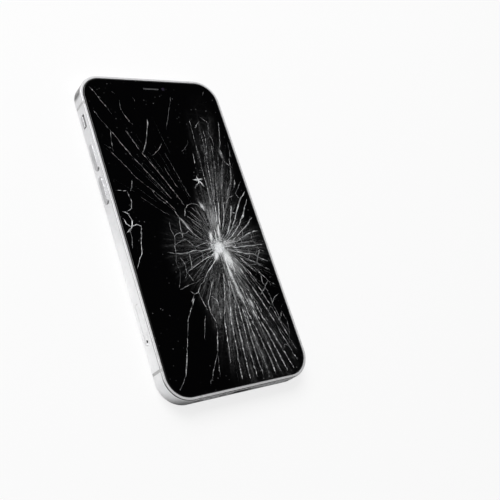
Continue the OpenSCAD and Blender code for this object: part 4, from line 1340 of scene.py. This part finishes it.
def make_lenses():
    """The two rear cameras as far as they show: ring, window, stepped baffle and front lens."""
    ring = [(6.3, 0.85), (6.3, 0.14), (6.21, 0.05), (5.7, 0.05), (5.62, 0.1), (4.6, 0.1), (4.5, 0.16), (4.5, 0.3),
            (5.05, 0.3), (5.05, 0.85)]
    build("camera_trim_rings", *joined([turned(ring, at) for at in LENSES]), [M["ring"]],
          replaces=["camera_rings"], slot="ring_metal")
    window = [post(((4.96, 0.34), (5.0, 0.38), (5.0, 0.78)), at, 48) for at in LENSES]
    build("camera_window_discs", *joined(window), [M["window"]], replaces=["camera_windows"], slot="lens_glass")
    baffle = [(4.4, 0.95)]
    for k in range(4):
        baffle += [(3.7 - 0.45 * k, 0.95 + 0.12 * i) for i in (k, k + 1)]
    baffle += [(1.9, 1.43), (4.4, 1.43)]
    build("lens_baffles", *joined([turned(baffle, at, 48) for at in LENSES]), [M["black"]], slot="camera_black")
    dome = [(2.15 * math.sin(math.radians(a)), 1.42 - 0.34 * math.cos(math.radians(a))) for a in range(8, 91, 8)]
    build("lens_domes", *joined([post(dome, at, 40) for at in LENSES]), [M["lens"]], slot="lens_glass")


# ---------------------------------------------------------------- side controls and bottom edge

def control(cap, place, flange, plunger_r, steps, y, z, end):
    """A key's cap with the flange that keeps it in, and its plunger."""
    plate = stack([place(flange, i, y, z) for i in (FLANGE_IN, FLANGE_OUT)])
    plunger = round_into(place, [(plunger_r, FLANGE_OUT - 0.05), (plunger_r, end)], y, z, steps)
    return [cap, plate, plunger]


def make_controls():
    """The three keys and the mute slider, each on its own body."""
    for (node, place), body in zip(KEYS, ("volume_up", "volume_down", "side_key")):
        low, high = node_box(node)
        out = max(high.x, -low.x) - SIDE_X
        length, y = key_span(node)
        profile = eased([(0.5, -out), (0.1, -out), (0.0, -out + 0.1), (0.0, FLANGE_IN)], 0.08)
        cap = stack([place(pill(length - 2 * d, KEY_H - 2 * d), i, y, MID_Z) for d, i in profile])
        parts = control(cap, place, pill(length + KEY_FLANGE, KEY_H + 0.8), 0.7, 20, y, MID_Z, PLUNGER_END)
        build(node.replace("button", "key"), *joined(parts), [M["control"]], body, [node], "control_aluminium", 40)
    low, high = node_box("mute_switch")
    y, z = (low.y + high.y) / 2, MID_Z - MUTE_DROP
    out = -low.x - SIDE_X
    profile = eased([(0.4, -out), (0.12, -out), (0.0, -out + 0.12), (0.0, FLANGE_IN)], 0.1)
    knob = stack([on_left(rounded_box(MUTE_LEN - 2 * d, MUTE_H - 2 * d, max(0.4 - d, 0.05)), i, y, z)
                  for d, i in profile])
    parts = control(knob, on_left, rounded_box(*MUTE_FLANGE, 0.2, 2), 0.4, 16, y, z, PLUNGER_END + 0.05)
    points, faces = joined(parts)
    kinds = [0] * len(knob[1]) + [1] * (len(faces) - len(knob[1]))      # the flange is pale plastic: painted light that lifts the shade in the slot
    build("mute_slider", points, faces, [M["control"], M["strip"]], "mute", ["mute_switch"], "control_aluminium",
          40, kinds)


def make_tray():
    """The card tray: a face flush with the band, and a blade with the card's seat."""
    low, high = node_box("sim_tray")
    length, y = high.y - low.y, (high.y + low.y) / 2
    profile = eased([(0.4, 0.0), (0.1, 0.0), (0.0, 0.1), (0.0, 1.0)], 0.08)
    face = stack([on_left(pill(length - 2 * d, TRAY_H - 2 * d), i, y, MID_Z) for d, i in profile])
    ejector = [(0.72, -0.5), (0.72, 0.0), (0.6, 0.1), (0.6, 1.5)]
    face = carve(face, [round_into(on_left, ejector, EJECT_Y, MID_Z)])
    z0, z1, half = MID_Z - 0.45, MID_Z + 0.45, 6.7
    seat = block((low.x + 4, TRAY_Y - 6.2, z0 + 0.2), (low.x + 12.9, TRAY_Y + 6.2, z1 + 1))
    window = block((low.x + 4.6, TRAY_Y - 5.6, z0 - 1), (low.x + 12.3, TRAY_Y + 5.6, z1 + 1))
    blade = carve(block((low.x + 0.9, TRAY_Y - half, z0), (high.x, TRAY_Y + half, z1)), [seat, window])
    build("card_tray", *joined([face, blade]), [M["band"]], "tray", ["sim_tray"], "control_aluminium")


def make_bottom():
    """The charge port with its tongue and contacts, and the two bottom screws."""
    low, high = node_box("charge_port")
    mouth, back = low.y + END_Y, high.y + END_Y
    w, h, t = PORT_W, PORT_H, PORT_WALL
    tube = [on_bottom(pill(w - 2 * d, h - 2 * d), i, 0, MID_Z) for d, i in
            ((0.0, back), (0.0, mouth + 0.1), (0.08, mouth + 0.02), (0.22, mouth + 0.02), (t, mouth + 0.1),
             (t, back - t))]
    foot = block((-3, -67.6, 1.7), (3, -66.1, MID_Z - h / 2 + 0.05))
    # The shell's near-black colour is painted shade inside the port opening.
    build("port_shell", *joined([stack(tube), foot]), [M["port"]], replaces=["charge_port"], slot="steel_sheet")
    tongue = stack([on_bottom(rounded_box(TONGUE_W - 2 * d, TONGUE_H - 2 * d, 0.2 - d, 3), i, 0, MID_Z)
                    for d, i in ((0.12, TONGUE_IN), (0.0, TONGUE_IN + 0.14), (0.0, back - t))])
    plug = stack([on_bottom(pill(w - 2 * t - 0.1, h - 2 * t - 0.1), i, 0, MID_Z)
                  for i in (back - t - 1.1, back - t)])
    build("port_tongue_piece", *joined([tongue, plug]), [M["black"]], replaces=["port_tongue"],
          slot="black_plastic")
    pads, y = [], -END_Y + TONGUE_IN + 0.5
    for side in (-1, 1):
        z = MID_Z + side * TONGUE_H / 2
        z0, z1 = sorted((z, z + side * PAD_UP))
        for x in [-2.75 + PAD_PITCH * k for k in range(12)]:
            pads.append(block((x - PAD_HALF, y, z0), (x + PAD_HALF, y + PAD_LEN, z1)))
    build("port_contacts", *joined(pads), [M["gold"]], slot="contacts")
    head = [(0.6, 4.4), (0.6, 0.8), (0.95, 0.8), (0.95, 0.2), (0.88, 0.13), (0.6, 0.1)]
    screws = [carve(round_into(on_bottom, head, x, MID_Z, 32),
                    [round_into(on_bottom, [(0.5, -0.5), (0.5, 0.45)], x, MID_Z, 5)]) for x in (-SCREW_X, SCREW_X)]
    build("bottom_edge_screws", *joined(screws), [M["screw"]], replaces=["bottom_screws"], slot="screw_steel")


def make_front_details():
    """The earpiece mesh, and the front camera seen through the glass."""
    low, high = node_box("earpiece_mesh")
    sheet = [upright(pill(EAR_LEN - 0.06 - 2 * d, EAR_H - 0.06 - 2 * d), (0, EAR_Y), z)
             for d, z in ((0.0, low.z), (0.0, high.z - 0.05), (0.06, high.z))]
    build("earpiece_screen", *stack(sheet), [M["mesh"]], replaces=["earpiece_mesh"], slot="mesh")
    lens = [(0.0, 0.0), (0.35, 0.0), (0.6, -0.004), (0.78, -0.012), (0.82, -0.05)]
    eye = post([(max(r, 0.02), GLASS_TOP + 0.014 + d) for r, d in lens], FRONT_CAMERA, 24)
    build("front_camera_eye", *eye, [M["lens"]], slot="camera_black")


# ---------------------------------------------------------------- the nodes that stay as packed

CAD_MATERIALS = {
    "steel": "display_backplate shield_lower shield_upper connector_plate port_bracket camera_cage "
             "button_bracket_left button_bracket_right sim_reader vibration_motor",
    "screw": "board_screws bracket_screws",
    "black": "sensor_bracket earpiece_speaker loudspeaker mute_switch_body camera_main camera_wide "
             "front_camera light_sensor",
    "film": "rear_adhesive display_gasket",
    "panel": "display_panel",
    "inner_metal": "floor_plate",
    "flex": "display_flex dock_flex battery_connector",
    "cell": "battery",
    "strip": "battery_adhesive",
    "board": "logic_board",
    "gold": "board_connectors rear_microphone bottom_microphone dome_switches",
    "mesh": "bottom_meshes",
    "copper": "charging_coil",
    "ferrite": "coil_shield",
    "flash": "flash_led",
}


def dress_cad_nodes():
    """Gives the inner nodes their materials and softened edges."""
    for key, names in CAD_MATERIALS.items():
        for name in names.split():
            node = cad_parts[name]
            node.data.materials.clear()
            node.data.materials.append(M[key])
            shade(node.data, 30)
            soften(node, 0.04)


# ---------------------------------------------------------------- stage, lamps and camera

CAMERA_AT, CAMERA_TARGET, CAMERA_ROLL = (-188.93, -114.54, 269.9), (24.52, -14.45, 7.4), 52.09
CAMERA_LENS, CAMERA_SENSOR = 57.66, 36
FLOOR_SIZE, FLOOR_DROP = 3.0, 0.00002           # in metres: half its width, and how far it lies below the back
FLOOR_LIFT, FLOOR_LIFT_MIRRORED = 0.8, 0.02     # how white the floor shows to the camera, and in mirrors
WORLD_DIM, WORLD_LIT = 0.05, 0.8                # past the bottom edge, and past the earpiece end
PANEL, PANEL_EDGE = (0.605, 0.284, 0.744), (0.88, 0.95)         # the dark panel's direction, and its soft edge
WHITE = (1, 1, 1, 1)


def aim(thing, place, target, roll=0.0):
    """Puts a lamp or camera at a place in mm, pointing at a target, turned by roll degrees."""
    look = Vector(target) - Vector(place)
    turn = look.to_track_quat("-Z", "Y").to_matrix().to_4x4()
    thing.matrix_world = Matrix.Translation(Vector(place) * MM) @ turn @ Matrix.Rotation(math.radians(roll), 4, "Z")


def make_floor():
    """A pale paper floor, lifted towards white but keeping the phone's shadow."""
    n = Nodes("floor_paper")
    paper = n.fill(n.shader, Base_Color=(0.9, 0.9, 0.9, 1), Roughness=0.9, Specular_IOR_Level=0.0)
    rays = n.add("ShaderNodeLightPath").outputs
    shown = n.times(rays["Is Camera Ray"], FLOOR_LIFT)
    back = n.most(rays["Is Glossy Ray"], rays["Is Transmission Ray"])
    share = n.most(shown, n.times(back, FLOOR_LIFT_MIRRORED))
    white = n.fill(n.add("ShaderNodeEmission"), Color=WHITE)
    n.feed(n.tree.nodes["Material Output"].inputs["Surface"], n.blend(share, paper, white))
    corners = [(x * FLOOR_SIZE, y * FLOOR_SIZE, 0) for x, y in ((-1, -1), (1, -1), (1, 1), (-1, 1))]
    mesh = bpy.data.meshes.new("floor")
    mesh.from_pydata(corners, [], [(0, 1, 2, 3)])
    mesh.materials.append(n.material)
    floor = bpy.data.objects.new("floor", mesh)
    floor.location.z = -FLOOR_DROP
    bpy.context.scene.collection.objects.link(floor)


def make_world():
    """White to the camera. To the object it is a pale studio that is dimmer past its bottom edge,
    with one dark panel where the glass mirrors it."""
    world = bpy.data.worlds.new("studio")
    bpy.context.scene.world = world
    world.use_nodes = True
    world.node_tree.nodes.clear()
    g = Graph(world.node_tree)
    heading = g.add("ShaderNodeTexCoord").outputs["Generated"]
    split = g.fill(g.add("ShaderNodeSeparateXYZ"), Vector=heading)
    facing = g.add("ShaderNodeVectorMath", operation="DOT_PRODUCT")
    for socket, value in zip(facing.inputs, (heading, PANEL)):
        g.feed(socket, value)
    level = g.times(g.ramp(split.outputs["Y"], -0.2, 0.5, WORLD_DIM, WORLD_LIT, "SMOOTHSTEP"),
                    g.ramp(facing.outputs["Value"], *PANEL_EDGE, 1.0, 0.0, "SMOOTHSTEP"))
    soft = g.fill(g.add("ShaderNodeBackground"), Color=WHITE, Strength=level)
    plain = g.fill(g.add("ShaderNodeBackground"), Color=WHITE, Strength=1.0)
    seen = g.add("ShaderNodeLightPath").outputs["Is Camera Ray"]
    g.fill(g.add("ShaderNodeOutputWorld"), Surface=g.blend(seen, soft, plain))


def lamp(name, azimuth, elevation, distance, size, power):
    """A soft square lamp aimed at the phone. Azimuth 0 is over +X and 90 over +Y."""
    a, e = math.radians(azimuth), math.radians(elevation)
    data = bpy.data.lights.new(name, "AREA")
    data.shape, data.size, data.energy = "SQUARE", size * MM, power
    light = bpy.data.objects.new(name, data)
    bpy.context.scene.collection.objects.link(light)
    place = Vector((math.cos(e) * math.cos(a), math.cos(e) * math.sin(a), math.sin(e))) * distance
    aim(light, place, (0, 0, 0))


def make_camera():
    """The photo's camera, fitted to the straight edges of the phone."""
    data = bpy.data.cameras.new("camera")
    data.lens, data.sensor_width = CAMERA_LENS, CAMERA_SENSOR
    data.clip_start, data.clip_end = 0.01, 20
    camera = bpy.data.objects.new("camera", data)
    bpy.context.scene.collection.objects.link(camera)
    aim(camera, CAMERA_AT, CAMERA_TARGET, CAMERA_ROLL)
    bpy.context.scene.camera = camera


make_camera()
make_world()
make_floor()
lamp("key", azimuth=112, elevation=48, distance=1600, size=1000, power=24)

dress_cad_nodes()
make_band()
cracks = crack_pattern()
make_glass(cracks)
make_crumbs(cracks)
make_bezel()
make_back()
make_controls()
make_tray()
make_bottom()
make_front_details()

bpy.context.scene.view_settings.view_transform = "Standard"
